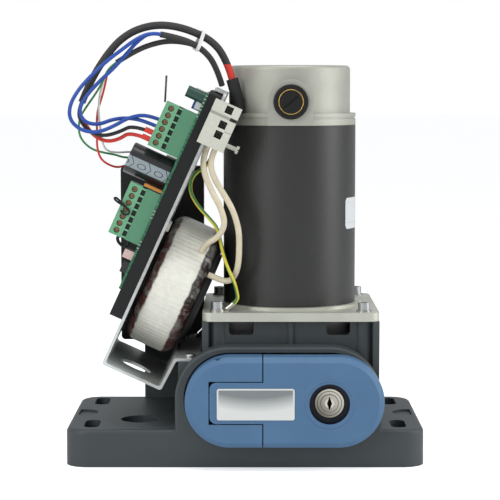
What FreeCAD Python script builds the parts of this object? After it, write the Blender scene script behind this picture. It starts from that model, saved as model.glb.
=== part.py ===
import FreeCAD, Part
import math
import os

from FreeCAD import Vector as V

# Sliding gate motor with its cover removed. Millimetres, X to the right, Y away from the
# viewer towards the gate, Z up. The origin is the centre of the foot's underside.

X, Y, Z = V(1, 0, 0), V(0, 1, 0), V(0, 0, 1)

# Foot of the cast base
FOOT_W = 246.0
FOOT_D = 136.0
FOOT_H = 26.0
FOOT_CORNER_R = 15.0
FOOT_EDGE_R = 3.2
FOOT_WALL = 8.0
FOOT_PLATE = 9.0
SLOT_X = 106.0
SLOT_Y = 45.0
SLOT_W = 10.5
SLOT_L = 28.0
SLOT_BOSS_WALL = 6.0
CABLE_HOLE_X = -74.0
CABLE_HOLE_Y = -27.0
CABLE_HOLE_R = 13.5
DEE_X = 119.0
DEE_REACH = 13.3
DEE_HALF = 11.0
DEE_DEPTH = 1.5

# Drum at the front that carries the release lever
DRUM_LEFT = -47.8
DRUM_RIGHT = 93.6
DRUM_R = 35.4
DRUM_Z = 47.2
DRUM_BACK = -48.0
POCKET_R = 31.9
SEAT_ROOM = 1.2
SEAT_WALL = 3.6
POCKET_DEPTH = 11.0
RIM_EDGE_R = 1.5

# Gearbox of the cast base
BOX_LEFT = -29.6
BOX_RIGHT = 92.4
BOX_TOP = 98.5
BOX_BACK = 62.0
BOX_WALL = 4.0
BOX_CORNER_R = 3.0
LEFT_POCKET_R = 6.0
RIGHT_POCKET_R = 4.0
LEDGE_WALL = 4.0
LEDGE_LEFT = -46.0
LEDGE_Z = 71.0
LEDGE_FRONT = -56.0
CHAMBER_FLOOR = 87.0
POST = 4.4
POST_FRONT = -54.0
POST_BACK = 68.0
WINDOW_SILL = 88.5
WINDOW_R = 2.5
WINDOWS_X = ((-11.1, 5.9), (56.2, 72.5))
RIB_X = 31.5
RIB_W = 3.0
RIB_DEPTH = 2.0

# Motor axis, flange and can
MOTOR_X = 31.5
MOTOR_Y = 6.5
FLANGE_SIDE = 122.0
FLANGE_T = 6.0
FLANGE_CORNER_R = 7.0
FLANGE_BOSS_R = 21.0
FLANGE_BOSS_H = 6.0
REGISTER_R = 51.0
REGISTER_H = 2.0
SCREW_PITCH = 101.4
SCREW_BOSS_R = 6.5
M5_R = 2.5
M5_HEAD_R = 4.25
M5_HEAD_H = 5.0
M5_SOCKET_R = 2.3
M5_LENGTH = 16.0
TAP_SHORT = 0.5
SOCKET_FLOOR = 0.4
WASHER_R = 5.2
WASHER_T = 1.0
CAN_R = 47.0
CAN_WALL = 3.0
CAN_H = 127.9
CAP_H = 41.6
CAP_SHOULDER_H = 8.2
CAP_R = 43.0
CAP_WALL = 3.5
CAP_EDGE_R = 3.0
CAP_GROOVE_Z = 4.2
CAP_GROOVE_H = 1.6
CAP_GROOVE_DEPTH = 0.6
CAP_SPIGOT_H = 4.0
FIT = 0.05

# Brush gear
BRUSH_BELOW_TOP = 25.3
BRUSH_BOSS_R = 15.7
BRUSH_BOSS_REACH = 47.5
BRUSH_BORE_R = 8.9
BRUSH_CAP_R = 12.1
BRUSH_CAP_T = 3.2
BRUSH_CAP_SLOT = 1.5
BRUSH_CAP_SLOT_L = 12.0
BRUSH_CAP_SLOT_DEPTH = 1.2
BRUSH_CAP_SLOT_TURN = -40.0
BRUSH_W = 8.0
BRUSH_H = 10.0
BRUSH_OUT = 36.0
COMMUTATOR_R = 16.0
COMMUTATOR_L = 21.0
BRUSH_GAP = 0.1

# Rotor
ROTOR_R = 6.0
ROTOR_FOOT_Z = 21.0
ARMATURE_R = 35.0
ARMATURE_Z = 128.0
ARMATURE_L = 78.0
ARMATURE_SLOTS = 12
ARMATURE_SLOT_W = 4.0
ARMATURE_SLOT_D = 13.0
WINDING_R = 29.0
WINDING_L = 12.0
MAGNET_T = 7.6
MAGNET_Z = 122.0
MAGNET_L = 90.0
MAGNET_SPAN = 140.0
ROTOR_BEARING_R = 16.0
ROTOR_BEARING_W = 10.0
BUSH_R = 10.0
BUSH_L = 6.0

# Worm drive
GEAR_MODULE = 1.75
PRESSURE_ANGLE = 20.0
DEDENDUM = 1.2
ROOT_SINK = 0.5
THREAD_SINK = 0.4
WHEEL_TEETH = 32
WORM_R = 9.5
TOOTH_SHARE = 0.31
THREAD_SHARE = 0.38
WORM_LENGTH = 44.0
WORM_INSET = 2.0
WORM_TURNS = 5
WORM_BORE_R = 13.0
WHEEL_W = 12.0
HEEL_ROOM = 0.8
HEEL_COVER = 1.8
WHEEL_HUB_R = 14.5
WHEEL_ROOM = 1.7

# Output shaft, its bearings and the pinion that drives the gate's rack
OUTPUT_Z = 47.2
OUTPUT_R = 10.0
OUTPUT_FRONT = -20.0
OUTPUT_BEARING_R = 23.5
OUTPUT_BEARING_W = 14.0
SHIELD_SINK = 0.6
HUB_PLAY = 0.2
OUTPUT_BORE_R = 4.2
OUTPUT_BORE_DEPTH = 16.0
COVER_R = 40.0
COVER_T = 7.0
COVER_PILOT = 12.0
COVER_SCREW_R = 35.5
COVER_SCREW_TURN = 15.0
COVER_ROOM = 1.0
M4_R = 2.0
M4_HEAD_R = 3.5
M4_HEAD_H = 4.0
M4_SOCKET_R = 1.7
M4_LENGTH = 14.0
SEAL_R = 17.5
SEAL_W = 5.0
SHAFT_GAP = 0.05
PINION_MODULE = 4.0
PINION_TEETH = 16
PINION_FRONT = 76.0
COLLAR_T = 3.0
COLLAR_RISE = 3.0
PINION_W = 28.0
PINION_TOOTH_SHARE = 0.46
BOLT_R = 4.0
BOLT_HEAD_R = 6.5
BOLT_HEAD_H = 5.3
BOLT_WASHER_R = 14.0
BOLT_WASHER_T = 3.0
BOLT_DEPTH = 22.0
BOLT_SHORT = 2.0

# Release lever, its clevis, pin and plunger
LEVER_R = 30.8
LEVER_LEFT = -40.7
LEVER_RIGHT = 94.2
LEVER_FACE = -85.0
LEVER_CHAMFER = 3.5
LEVER_BACK = -68.6
LEVER_WALL = 3.2
LEVER_SKIN = 4.0
SPLIT_X = 11.6
SPLIT_GAP = 0.8
WINDOW_LEFT = -24.5
WINDOW_TOP = 61.9
WINDOW_BOTTOM = 32.5
WINDOW_GAP = 0.7
WINDOW_CORNER_R = 5.0
TONGUE_CORNER_R = WINDOW_CORNER_R - 0.5
HINGE_X = -18.0
HINGE_Y = -80.0
HINGE_PIN_R = 2.5
HINGE_CLEAR = 0.05
HINGE_PIN_INSET = 4.0
TONGUE_T = 10.0
HEEL_BASE = 8.0
HEEL_RATE = 2.5
HEEL_W = 12.0
HEEL_STEPS = 12
HEEL_ROOT = 3.0
PLUNGER_R = 4.0
PLUNGER_HEAD_R = 8.0
PLUNGER_HEAD_T = 3.0
PLUNGER_ARM_REACH = 3.0
PLUNGER_ARM_W = 10.0
PLUNGER_GAP = 0.1
PLUNGER_LENGTH = 61.0
SPRING_WIRE_R = 0.7
SPRING_R = 6.0
SPRING_TURNS = 4.0
RELEASE_SWING = 90.0

# Lock and nameplate on the lever
LOCK_X = 57.0
LOCK_Z = 46.5
LOCK_R = 9.4
LOCK_FLANGE_R = 10.4
LOCK_FLANGE_T = 1.6
LOCK_LENGTH = 19.0
LOCK_RECESS_R = 13.7
LOCK_RECESS_DEPTH = 6.0
LOCK_SEAT_R = 16.5
PLUG_R = 6.0
PLUG_PROUD = 0.6
KEYWAY_W = 3.4
KEYWAY_H = 9.6
KEYWAY_DEPTH = 8.0
CAM_T = 2.5
CAM_W = 8.0
CAM_REACH = 22.0
CAM_PLAY = 0.3
LOCK_EDGE = 0.6
NAMEPLATE_X = (-18.9, 33.4)
NAMEPLATE_Z = (35.8, 57.2)
NAMEPLATE_T = 0.6
NAMEPLATE_R = 1.5

# Bracket that carries the board and the transformer. It leans to the right.
LEAN = 24.5
PLATE_T = 2.0
BEND_R = 2.0
BRACKET_FOOT_X = -31.5
BRACKET_KNEE = (-48.0, 72.0)
BRACKET_HEEL = (-58.5, 52.0)
BRACKET_TOE = (-97.4, 69.6)
BRACKET_LENGTH = 204.0
BRACKET_CORNER_R = 6.0
LIP_N = -8.0
LIP_Y = (-47.0, 53.0)
BRACKET_FRONT = -54.0
BRACKET_BACK = 60.0
BRACKET_HOLE_R = 11.5
BRACKET_HOLE_Y = -14.0
PAN_R = 2.0
PAN_HEAD_R = 4.0
PAN_HEAD_H = 2.6
PAN_LENGTH = 9.0
PAN_GRIP = 0.2
PAN_EDGE_R = 1.4
CROSS_HALF_L = 2.0
CROSS_HALF_W = 0.4
CROSS_DEPTH = 1.2
PAN_X = -38.0
PAN_YS = (-48.0, 54.0)

# Board tray, circuit board and what is soldered on it, along the leaning plate
TRAY_T = 9.3
TRAY_D = (32.0, 201.0)
TRAY_Y = (-52.0, 50.0)
TRAY_WALL = 2.5
TRAY_FLOOR = 3.0
TRAY_R = 4.0
TRAY_INNER_R = 2.5
BOARD_T = 1.6
BOARD_Y = (-50.0, 48.0)
BOARD_TOP = 199.0
BOARD_CORNER_R = 2.0
TRAY_RIBS = 4
RIB_T = 2.0
RIB_STEP = 35.0
RIB_INSET = 4.0
CLIP_D = (141.7, 103.6)
CLIP_Y = -40.0
CLIP_R = 1.9
CLIP_HEAD_R = 4.0
CLIP_HEAD_T = 2.0
WAY = 5.08
HEADER_T = 10.1
PLUG_NECK = 3.0
PLUG_T = 9.3
PLUG_DEPTH = 14.0
PLUG_EDGE = 1.2
FIN_H = 1.2
FIN_T = 1.2
UPPER_WAYS = 6
LOWER_WAYS = 7
TERMINAL_HOLE_R = 2.1
TERMINAL_HOLE_DEPTH = 4.0
TERMINAL_SCREW_R = 1.7
CLAMP_HEAD_H = 1.6
CLAMP_SLOT_FLOOR = 0.8
CLAMP_SLOT_W = 0.6
ENTRY_R = 1.4
ENTRY_DEPTH = 6.0
ENTRY_BELOW = 7.0
CAPACITOR_R = 11.0
CAPACITOR_L = 31.0
CAPACITOR_Y = -37.0
CAPACITOR_EDGE_R = 0.9
UPPER_FIRST_D = BOARD_TOP - 46.0
CAPACITOR_D = UPPER_FIRST_D - CAPACITOR_R - 6.0
LOWER_FIRST_D = CAPACITOR_D - CAPACITOR_R - 37.5
BOARD_D = (LOWER_FIRST_D - 36.5, BOARD_TOP)
FERRULE_R = 1.9
FERRULE_L = 6.0
SMALL_CAPACITOR_Y = -44.0
SMALL_CAPACITOR_D = BOARD_TOP - 5.0
SMALL_CAPACITOR_R = 4.0
SMALL_CAPACITOR_L = 13.0
SIGNAL_D = UPPER_FIRST_D - 10.0
SIGNAL_PINS_Y = (-20.5, -17.5, -14.5)
SIGNAL_HEADER_EDGE = 2.3
SIGNAL_HEADER_W = 8.0
SIGNAL_HEADER_H = 8.1
# Height off the board, front and back, then low and high along it, of each boxlike part
BOARD_BLOCKS = (
    (4.0, -46.0, -42.0, BOARD_TOP - 14, BOARD_TOP - 9),
    (6.0, -34.0, -27.0, BOARD_TOP - 15, BOARD_TOP - 8),
    (8.0, -40.0, -36.5, BOARD_TOP - 7, BOARD_TOP - 0.5),
    (13.2, -48.0, -38.0, CAPACITOR_D - CAPACITOR_R - 2.4, CAPACITOR_D - CAPACITOR_R - 0.5),
    (15.5, -14.0, 5.0, LOWER_FIRST_D + 12.5, LOWER_FIRST_D + 28.5),
    (15.5, 10.0, 29.0, LOWER_FIRST_D + 12.5, LOWER_FIRST_D + 28.5),
    (8.0, -10.0, 12.0, UPPER_FIRST_D - 3, UPPER_FIRST_D + 11),
    (11.0, 20.0, 42.0, UPPER_FIRST_D + 17, UPPER_FIRST_D + 26),
    (4.5, -48.0, -40.0, LOWER_FIRST_D - 25.5, LOWER_FIRST_D - 17.5),
    (7.0, -48.0, -38.0, LOWER_FIRST_D - 15.5, LOWER_FIRST_D - 9.5),
)

# Mains terminal and its nylon screw, on the other side of the plate
MAINS_D = (165.8, 197.8)
MAINS_N = 14.0
MAINS_Y = (-54.0, -38.0)
MAINS_CHEEK_N = -4.5
MAINS_CHEEK_Y = -62.0
MAINS_WAYS_D = (194.0, 183.2, 175.9)
MAINS_HOLE = 5.2
MAINS_HOLE_DEPTH = 8.0
MAINS_HOLE_N = 6.0
MAINS_NOTCH_D = 188.6
MAINS_NOTCH = 2.4
MAINS_NOTCH_DEPTH = 5.0
NYLON_R = 1.5
NYLON_L = 7.0
NYLON_HEAD_R = 2.8
NYLON_HEAD_L = 2.0
NYLON_SLOT = 0.8
NYLON_D = 171.2

# Toroid transformer, its pads, dished washer and bolt
TOROID_R = 48.0
TOROID_HOLE_R = 14.0
TOROID_W = 37.0
TOROID_EDGE_R = 8.5
TOROID_D = 64.0
TOROID_Y = 0.0
PAD_T = 2.5
PAD_R = 30.0
OUTER_PAD_R = 37.8
DISH_R = 33.0
DISH_T = 2.0
DISH_DEPTH = 9.0
DISH_FLOOR_R = 10.0
DISH_RIM_R = 23.0
TOROID_BOLT_R = 3.0
TOROID_BOLT_HEAD_R = 5.0
TOROID_BOLT_HEAD_H = 4.0

# Sensor housing at the rear left
SENSOR_X = (-93.0, -31.0)
SENSOR_Z = (70.0, 200.0)
SENSOR_Y = (62.2, 75.0)
SENSOR_R = 3.0
COLUMN_X = (-75.6, -46.0)
COLUMN_Y = (62.2, 68.0)
SENSOR_LUG_Z = 48.0
SENSOR_LUG_T = 4.5
SENSOR_SCREW_IN = 6.0

# Cable entry of the motor and cords
GROMMET_ANGLE = 220.0
GROMMET_R = 4.8
GROMMET_H = 10.4
TUBE_R = 4.2
TUBE_L = 15.0
TUBE_LEAN = 15.0
LUG_T = 0.8
LUG_BARREL_R = 1.9
LUG_BARREL_L = 6.0
LUG_NECK = 1.4
LUG_RISE = 40.0
SLEEVE_R = 2.6
BLUE_SLEEVE_R = 2.1
WIRE_R = 1.3
WIRE_GAP = 0.1
BEND_SHARE = 0.45
WINDING_LEAD_R = 2.1
EARTH_R = 1.3
SIGNAL_SLEEVE_R = 1.85
SIGNAL_WIRE_R = 0.75
SLEEVE_EXIT = 7.0
MAINS_STRAIGHT = 9.0
HEADER_STRAIGHT = 10.0
WAY_STRAIGHT = 8.0
WINDING_EXIT_Y = -35.0

# Worked out from the sizes above
CAN_BASE = BOX_TOP + FLANGE_T
CAP_BASE = CAN_BASE + CAN_H
CAP_TOP = CAP_BASE + CAP_H
BRUSH_Z = CAP_TOP - BRUSH_BELOW_TOP
FOOT_FRONT = -FOOT_D / 2
WHEEL_R = GEAR_MODULE * WHEEL_TEETH / 2
WHEEL_TIP_R = WHEEL_R + GEAR_MODULE
OUTPUT_X = MOTOR_X - WHEEL_R - WORM_R
CAVITY_R = WHEEL_TIP_R + WHEEL_ROOM
HUB_FRONT = OUTPUT_FRONT + OUTPUT_BEARING_W
COVER_INNER = BOX_BACK - COVER_PILOT
POCKET_FLOOR = FOOT_FRONT + POCKET_DEPTH
BOARD_FACE = -PLATE_T / 2 - TRAY_T - BOARD_T
PLUG_FACE = BOARD_FACE - HEADER_T - PLUG_NECK - PLUG_T
TOROID_N = PLATE_T / 2 + PAD_T + TOROID_W / 2
UPHILL = V(math.sin(math.radians(LEAN)), 0, math.cos(math.radians(LEAN)))
OUTWARD = V(math.cos(math.radians(LEAN)), 0, -math.sin(math.radians(LEAN)))


def box(x0, x1, y0, y1, z0, z1):
    return Part.makeBox(x1 - x0, y1 - y0, z1 - z0, V(x0, y0, z0))


def rod(start, axis, radius, length):
    return Part.makeCylinder(radius, length, start, axis)


def ring(start, axis, outer, inner, length):
    return rod(start, axis, outer, length).cut(rod(start, axis, inner, length))


def prism(points, along):
    return Part.Face(Part.makePolygon(points + [points[0]])).extrude(along)


def joined(shapes):
    first, *others = shapes
    return first.multiFuse(others).removeSplitter()


def drilled(shape, tools):
    return shape.cut(Part.makeCompound(tools))


def edges_along(shape, axis, keep=lambda middle: True):
    """The straight edges that run along an axis and whose middle passes the test."""
    found = []
    for edge in shape.Edges:
        if not isinstance(edge.Curve, Part.Line):
            continue
        if abs(abs(edge.Curve.Direction.dot(axis)) - 1) > 1e-6:
            continue
        if keep(edge.CenterOfMass):
            found.append(edge)
    return found


def rim_edges(shape, axis, height):
    """The edges that lie in the plane across an axis at a height."""
    level = lambda vertex: abs(vertex.Point.dot(axis) - height) < 1e-6
    return [edge for edge in shape.Edges if all(level(v) for v in edge.Vertexes)]


def rounded_box(x0, x1, y0, y1, z0, z1, radius, axis=Z):
    solid = box(x0, x1, y0, y1, z0, z1)
    return solid.makeFillet(radius, edges_along(solid, axis))


def leaning(n, y, d):
    """A point n mm out from the bracket's plate, at depth y, and d mm up along the plate."""
    toe = V(BRACKET_TOE[0], 0, BRACKET_TOE[1])
    return toe + OUTWARD * n + UPHILL * d + Y * y


def leaning_box(n0, n1, y0, y1, d0, d1):
    corners = [leaning(n0, y0, d0), leaning(n1, y0, d0), leaning(n1, y0, d1), leaning(n0, y0, d1)]
    return prism(corners, Y * (y1 - y0))


def stadium(left, right, radius, z, y0, y1):
    """A flat-sided oval seen from the front, extruded from y0 to y1."""
    middle = box(left + radius, right - radius, y0, y1, z - radius, z + radius)
    ends = [rod(V(x, y0, z), Y, radius, y1 - y0) for x in (left + radius, right - radius)]
    return joined([middle, *ends])


def revolved(profile, centre, axis, across):
    """Turns a profile of (radius, height) pairs round an axis."""
    points = [centre + across * r + axis * h for r, h in profile]
    return Part.Face(Part.makePolygon(points + [points[0]])).revolve(centre, axis, 360)


def tube(name, points, radius):
    """A cord: straight runs joined by tangent arcs, as large as the runs allow."""
    points = [V(*p) for p in points]
    edges, radii, start = [], [], points[0]
    for before, corner, after in zip(points, points[1:], points[2:]):
        to_corner, onward = corner - before, after - corner
        half_turn = to_corner.getAngle(onward) / 2
        setback = BEND_SHARE * min(to_corner.Length, onward.Length)
        radius_here = setback / math.tan(half_turn)
        radii.append(round(radius_here, 1))
        enter = corner - to_corner.normalize() * setback
        leave = corner + onward.normalize() * setback
        inward = (onward - to_corner).normalize()
        reach = radius_here * (1 / math.cos(half_turn) - 1)
        middle = corner + inward * reach
        edges.append(Part.LineSegment(start, enter).toShape())
        edges.append(Part.Arc(enter, middle, leave).toShape())
        start = leave
    edges.append(Part.LineSegment(start, points[-1]).toShape())
    path = Part.Wire(edges)
    section = Part.Wire(Part.Circle(points[0], points[1] - points[0], radius).toShape())
    solid = path.makePipeShell([section], True, False)
    expected = math.pi * radius**2 * path.Length
    print(f"{name}: length {path.Length:.1f}, radii {radii}, volume ratio {solid.Volume / expected:.4f}")
    return solid


def gear(centre, module, teeth, share, front, width, bore):
    """A spur gear about Y with straight-flanked teeth and a gap on the +X side."""
    root = module * (teeth / 2 - DEDENDUM)
    pitch = module * teeth / 2
    tip = pitch + module
    half = math.pi * module * share / 2
    flank = math.tan(math.radians(PRESSURE_ANGLE))
    body = rod(V(centre.x, front, centre.z), Y, root, width)
    outline = []
    for radius, side in ((root - ROOT_SINK, -1), (tip, -1), (tip, 1), (root - ROOT_SINK, 1)):
        wide = half - (radius - pitch) * flank
        outline.append(V(radius, 0, side * wide))
    tooth = prism(outline, Y * width)
    shapes = [body]
    for index in range(teeth):
        one = tooth.copy()
        one.rotate(V(), Y, (index + 0.5) * 360 / teeth)
        one.translate(V(centre.x, front, centre.z))
        shapes.append(one)
    return joined(shapes).cut(rod(V(centre.x, front, centre.z), Y, bore, width))


def hex_socket(base, axis, radius, depth):
    """A six-sided socket to cut from a screw head."""
    across = X if abs(axis.dot(X)) < 0.5 else Y
    other = axis.cross(across)
    turn = lambda k: across * math.cos(k * math.pi / 3) + other * math.sin(k * math.pi / 3)
    return prism([base + turn(k) * radius for k in range(6)], axis * depth)


def socket_screw(seat, axis, shank, head, head_height, socket, length):
    """A cap screw. The seat is under its head and the axis points out of the head."""
    body = rod(seat - axis * length, axis, shank, length)
    top = rod(seat, axis, head, head_height)
    screw = joined([body, top])
    return screw.cut(hex_socket(seat + axis * head_height * SOCKET_FLOOR, axis, socket, head_height))


def flange_corners():
    half = SCREW_PITCH / 2
    return [(MOTOR_X + sx * half, MOTOR_Y + sy * half) for sy in (-1, 1) for sx in (-1, 1)]


# Cast base


def slot_cutter(x, y, z0, z1, width, length):
    reach = (length - width) / 2
    middle = box(x - width / 2, x + width / 2, y - reach, y + reach, z0, z1)
    ends = [rod(V(x, end, z0), Z, width / 2, z1 - z0) for end in (y - reach, y + reach)]
    return joined([middle, *ends])


def foot():
    half_w, half_d = FOOT_W / 2, FOOT_D / 2
    body = rounded_box(-half_w, half_w, -half_d, half_d, 0, FOOT_H, FOOT_CORNER_R)
    body = body.makeFillet(FOOT_EDGE_R, rim_edges(body, Z, FOOT_H))
    inner_w, inner_d = half_w - FOOT_WALL, half_d - FOOT_WALL
    roof = FOOT_H - FOOT_PLATE
    pockets = [
        rounded_box(-inner_w, LEDGE_LEFT - LEDGE_WALL, -inner_d, inner_d, 0, roof, LEFT_POCKET_R),
        rounded_box(BOX_RIGHT + 1, inner_w, -inner_d, inner_d, 0, roof, RIGHT_POCKET_R),
    ]
    outer_w, outer_l = SLOT_W + 2 * SLOT_BOSS_WALL, SLOT_L + 2 * SLOT_BOSS_WALL
    bosses = [slot_cutter(sx * SLOT_X, sy * SLOT_Y, 0, roof, outer_w, outer_l) for sx, sy in signs()]
    hollow = drilled(Part.makeCompound(pockets), bosses)
    return body.cut(hollow)


def signs():
    return [(sx, sy) for sx in (-1, 1) for sy in (-1, 1)]


def drum():
    y0, depth = FOOT_FRONT, DRUM_BACK - FOOT_FRONT + 1
    upper = stadium(DRUM_LEFT, DRUM_RIGHT, DRUM_R, DRUM_Z, y0, y0 + depth)
    lower = box(DRUM_LEFT, DRUM_RIGHT, y0, y0 + depth, 1, DRUM_Z)
    solid = joined([upper, lower])
    front = [e for e in rim_edges(solid, Y, y0) if e.CenterOfMass.z > FOOT_H]
    return solid.makeFillet(RIM_EDGE_R, front)


def dee_pocket(side):
    """The shallow pocket beside each pair of slots, flat on its outer side."""
    radius = (DEE_REACH**2 + DEE_HALF**2) / (2 * DEE_REACH)
    disc = rod(V(side * (DEE_X - DEE_REACH + radius), 0, FOOT_H - DEE_DEPTH), Z, radius, DEE_DEPTH)
    inner, outer = sorted((side * (DEE_X - DEE_REACH), side * DEE_X))
    return disc.common(box(inner, outer, -FOOT_D, FOOT_D, 0, FOOT_H))


def gearbox():
    lower = box(LEDGE_LEFT, BOX_RIGHT, DRUM_BACK, BOX_BACK, 1, LEDGE_Z)
    upper = rounded_box(BOX_LEFT, BOX_RIGHT, DRUM_BACK, BOX_BACK, LEDGE_Z - 1, BOX_TOP, BOX_CORNER_R)
    ledge = box(LEDGE_LEFT, BOX_LEFT, LEDGE_FRONT, DRUM_BACK, FOOT_H, LEDGE_Z)
    posts = [
        box(x, x + POST, POST_FRONT, POST_BACK, FOOT_H, BOX_TOP)
        for x in (BOX_LEFT, BOX_RIGHT - POST)
    ]
    bosses = [rod(V(x, y, FOOT_H), Z, SCREW_BOSS_R, BOX_TOP - FOOT_H) for x, y in flange_corners()]
    half = RIB_W / 2
    rib = box(RIB_X - half, RIB_X + half, DRUM_BACK - RIB_DEPTH, BOX_BACK, FOOT_H, BOX_TOP)
    column = box(COLUMN_X[0], COLUMN_X[1], COLUMN_Y[0], COLUMN_Y[1], 1, SENSOR_Z[0])
    return [lower, upper, ledge, *posts, *bosses, rib, column]


def windows():
    shapes = []
    for x0, x1 in WINDOWS_X:
        hole = box(x0, x1, POST_FRONT, POST_BACK, WINDOW_SILL, BOX_TOP)
        sill = edges_along(hole, Y, lambda middle: middle.z < WINDOW_SILL + 1)
        shapes.append(hole.makeFillet(WINDOW_R, sill))
    return shapes


def base_housing():
    solid = joined([foot(), drum(), *gearbox()])
    over_ledge = box(DRUM_LEFT - 10, BOX_LEFT, LEDGE_FRONT, BOX_BACK, LEDGE_Z, BOX_TOP)
    pocket = stadium(
        LEVER_LEFT - SEAT_ROOM, DRUM_RIGHT - SEAT_WALL, POCKET_R, DRUM_Z, FOOT_FRONT, POCKET_FLOOR
    )
    chamber = box(
        BOX_LEFT + BOX_WALL, BOX_RIGHT - BOX_WALL, DRUM_BACK + BOX_WALL, BOX_BACK - BOX_WALL,
        CHAMBER_FLOOR, BOX_TOP,
    )
    boss_columns = [rod(V(x, y, 0), Z, SCREW_BOSS_R, BOX_TOP) for x, y in flange_corners()]
    output_line = V(OUTPUT_X, 0, OUTPUT_Z)
    bores = [
        rod(output_line + Y * BOX_BACK, Y, COVER_R + COVER_ROOM, COVER_T),
        rod(output_line + Y * HUB_FRONT, Y, CAVITY_R, BOX_BACK - HUB_FRONT),
        rod(output_line + Y * OUTPUT_FRONT, Y, OUTPUT_BEARING_R, OUTPUT_BEARING_W),
        rod(output_line + Y * POCKET_FLOOR, Y, PLUNGER_R + SHAFT_GAP, OUTPUT_FRONT - POCKET_FLOOR),
        rod(V(MOTOR_X, MOTOR_Y, ROTOR_FOOT_Z - 1), Z, BUSH_R, BUSH_L + 1),
        rod(V(MOTOR_X, MOTOR_Y, ROTOR_FOOT_Z - 1 + BUSH_L), Z, WORM_BORE_R, BOX_TOP),
    ]
    slots = [slot_cutter(sx * SLOT_X, sy * SLOT_Y, 0, FOOT_H, SLOT_W, SLOT_L) for sx, sy in signs()]
    depth = M5_LENGTH - FLANGE_T
    tapped = [rod(V(x, y, BOX_TOP - depth), Z, M5_R, depth) for x, y in flange_corners()]
    pan_depth = PAN_LENGTH - PLATE_T
    tapped += [rod(V(PAN_X, y, LEDGE_Z - pan_depth), Z, PAN_R, pan_depth) for y in PAN_YS]
    tapped += [rod(p - Y * (M4_LENGTH - COVER_T), Y, M4_R, M4_LENGTH - COVER_T) for p in cover_holes()]
    lug_depth = PAN_LENGTH - SENSOR_LUG_T
    tapped += [rod(p - Y * lug_depth, Y, PAN_R, lug_depth) for p in sensor_holes()]
    cable_hole = rod(V(CABLE_HOLE_X, CABLE_HOLE_Y, 0), Z, CABLE_HOLE_R, FOOT_H)
    tools = [
        over_ledge, pocket, drilled(chamber, boss_columns), *windows(), *bores, *slots, *tapped,
        cable_hole, dee_pocket(-1), dee_pocket(1),
    ]
    return drilled(solid, tools)


def cover_holes():
    """The cover's screw places, at its rear seat."""
    places = []
    for k in range(4):
        angle = math.radians(COVER_SCREW_TURN + 90 * k)
        x = OUTPUT_X + COVER_SCREW_R * math.cos(angle)
        places.append(V(x, BOX_BACK, OUTPUT_Z + COVER_SCREW_R * math.sin(angle)))
    return places


def sensor_holes():
    """The screw places in the sensor housing's lug, on the column's rear face."""
    z = (SENSOR_LUG_Z + SENSOR_Z[0]) / 2
    return [V(x, COLUMN_Y[1], z) for x in (COLUMN_X[0] + SENSOR_SCREW_IN, COLUMN_X[1] - SENSOR_SCREW_IN)]


# Output shaft group


def output_cover():
    line = V(OUTPUT_X, 0, OUTPUT_Z)
    flange = rod(line + Y * BOX_BACK, Y, COVER_R, COVER_T)
    pilot = rod(line + Y * COVER_INNER, Y, CAVITY_R - FIT, COVER_PILOT)
    bore = rod(line + Y * COVER_INNER, Y, OUTPUT_BEARING_R, OUTPUT_BEARING_W)
    seal = rod(line + Y * (COVER_INNER + OUTPUT_BEARING_W), Y, SEAL_R, COVER_T)
    holes = [rod(p, Y, M4_R, COVER_T) for p in cover_holes()]
    return drilled(joined([flange, pilot]), [bore, seal, *holes])


def cover_screws():
    return Part.makeCompound([
        socket_screw(p + Y * COVER_T, Y, M4_R, M4_HEAD_R, M4_HEAD_H, M4_SOCKET_R, M4_LENGTH)
        for p in cover_holes()
    ])


def output_bearings():
    return Part.makeCompound([
        bearing(V(OUTPUT_X, y, OUTPUT_Z), Y, OUTPUT_BEARING_R, OUTPUT_R + SHAFT_GAP, OUTPUT_BEARING_W)
        for y in (OUTPUT_FRONT, COVER_INNER)
    ])


def bearing(start, axis, outer, inner, width):
    """A shielded ball bearing: one ring with a groove between its races on each face."""
    race = (outer - inner) / 4
    body = ring(start, axis, outer, inner, width)
    grooves = [
        ring(start + axis * h, axis, outer - race, inner + race, SHIELD_SINK)
        for h in (0, width - SHIELD_SINK)
    ]
    return drilled(body, grooves)


def shaft_seal():
    start = V(OUTPUT_X, COVER_INNER + OUTPUT_BEARING_W, OUTPUT_Z)
    return ring(start, Y, SEAL_R, OUTPUT_R + SHAFT_GAP, SEAL_W)


def output_shaft():
    line = V(OUTPUT_X, 0, OUTPUT_Z)
    end = PINION_FRONT + PINION_W
    shaft = rod(line + Y * OUTPUT_FRONT, Y, OUTPUT_R, end - OUTPUT_FRONT)
    collar = rod(line + Y * (PINION_FRONT - COLLAR_T), Y, OUTPUT_R + COLLAR_RISE, COLLAR_T)
    clutch_bore = rod(line + Y * OUTPUT_FRONT, Y, OUTPUT_BORE_R, OUTPUT_BORE_DEPTH)
    tapped = rod(line + Y * (end - BOLT_DEPTH), Y, BOLT_R, BOLT_DEPTH)
    return drilled(joined([shaft, collar]), [clutch_bore, tapped])


def worm_wheel():
    front = MOTOR_Y - WHEEL_W / 2
    centre = V(OUTPUT_X, 0, OUTPUT_Z)
    rim = gear(centre, GEAR_MODULE, WHEEL_TEETH, TOOTH_SHARE, front, WHEEL_W, OUTPUT_R)
    hub_start = HUB_FRONT + HUB_PLAY
    hub = ring(centre + Y * hub_start, Y, WHEEL_HUB_R, OUTPUT_R, COVER_INNER - HUB_PLAY - hub_start)
    return joined([rim, hub])


def output_pinion():
    centre = V(OUTPUT_X, 0, OUTPUT_Z)
    return gear(
        centre, PINION_MODULE, PINION_TEETH, PINION_TOOTH_SHARE, PINION_FRONT, PINION_W, OUTPUT_R
    )


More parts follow.
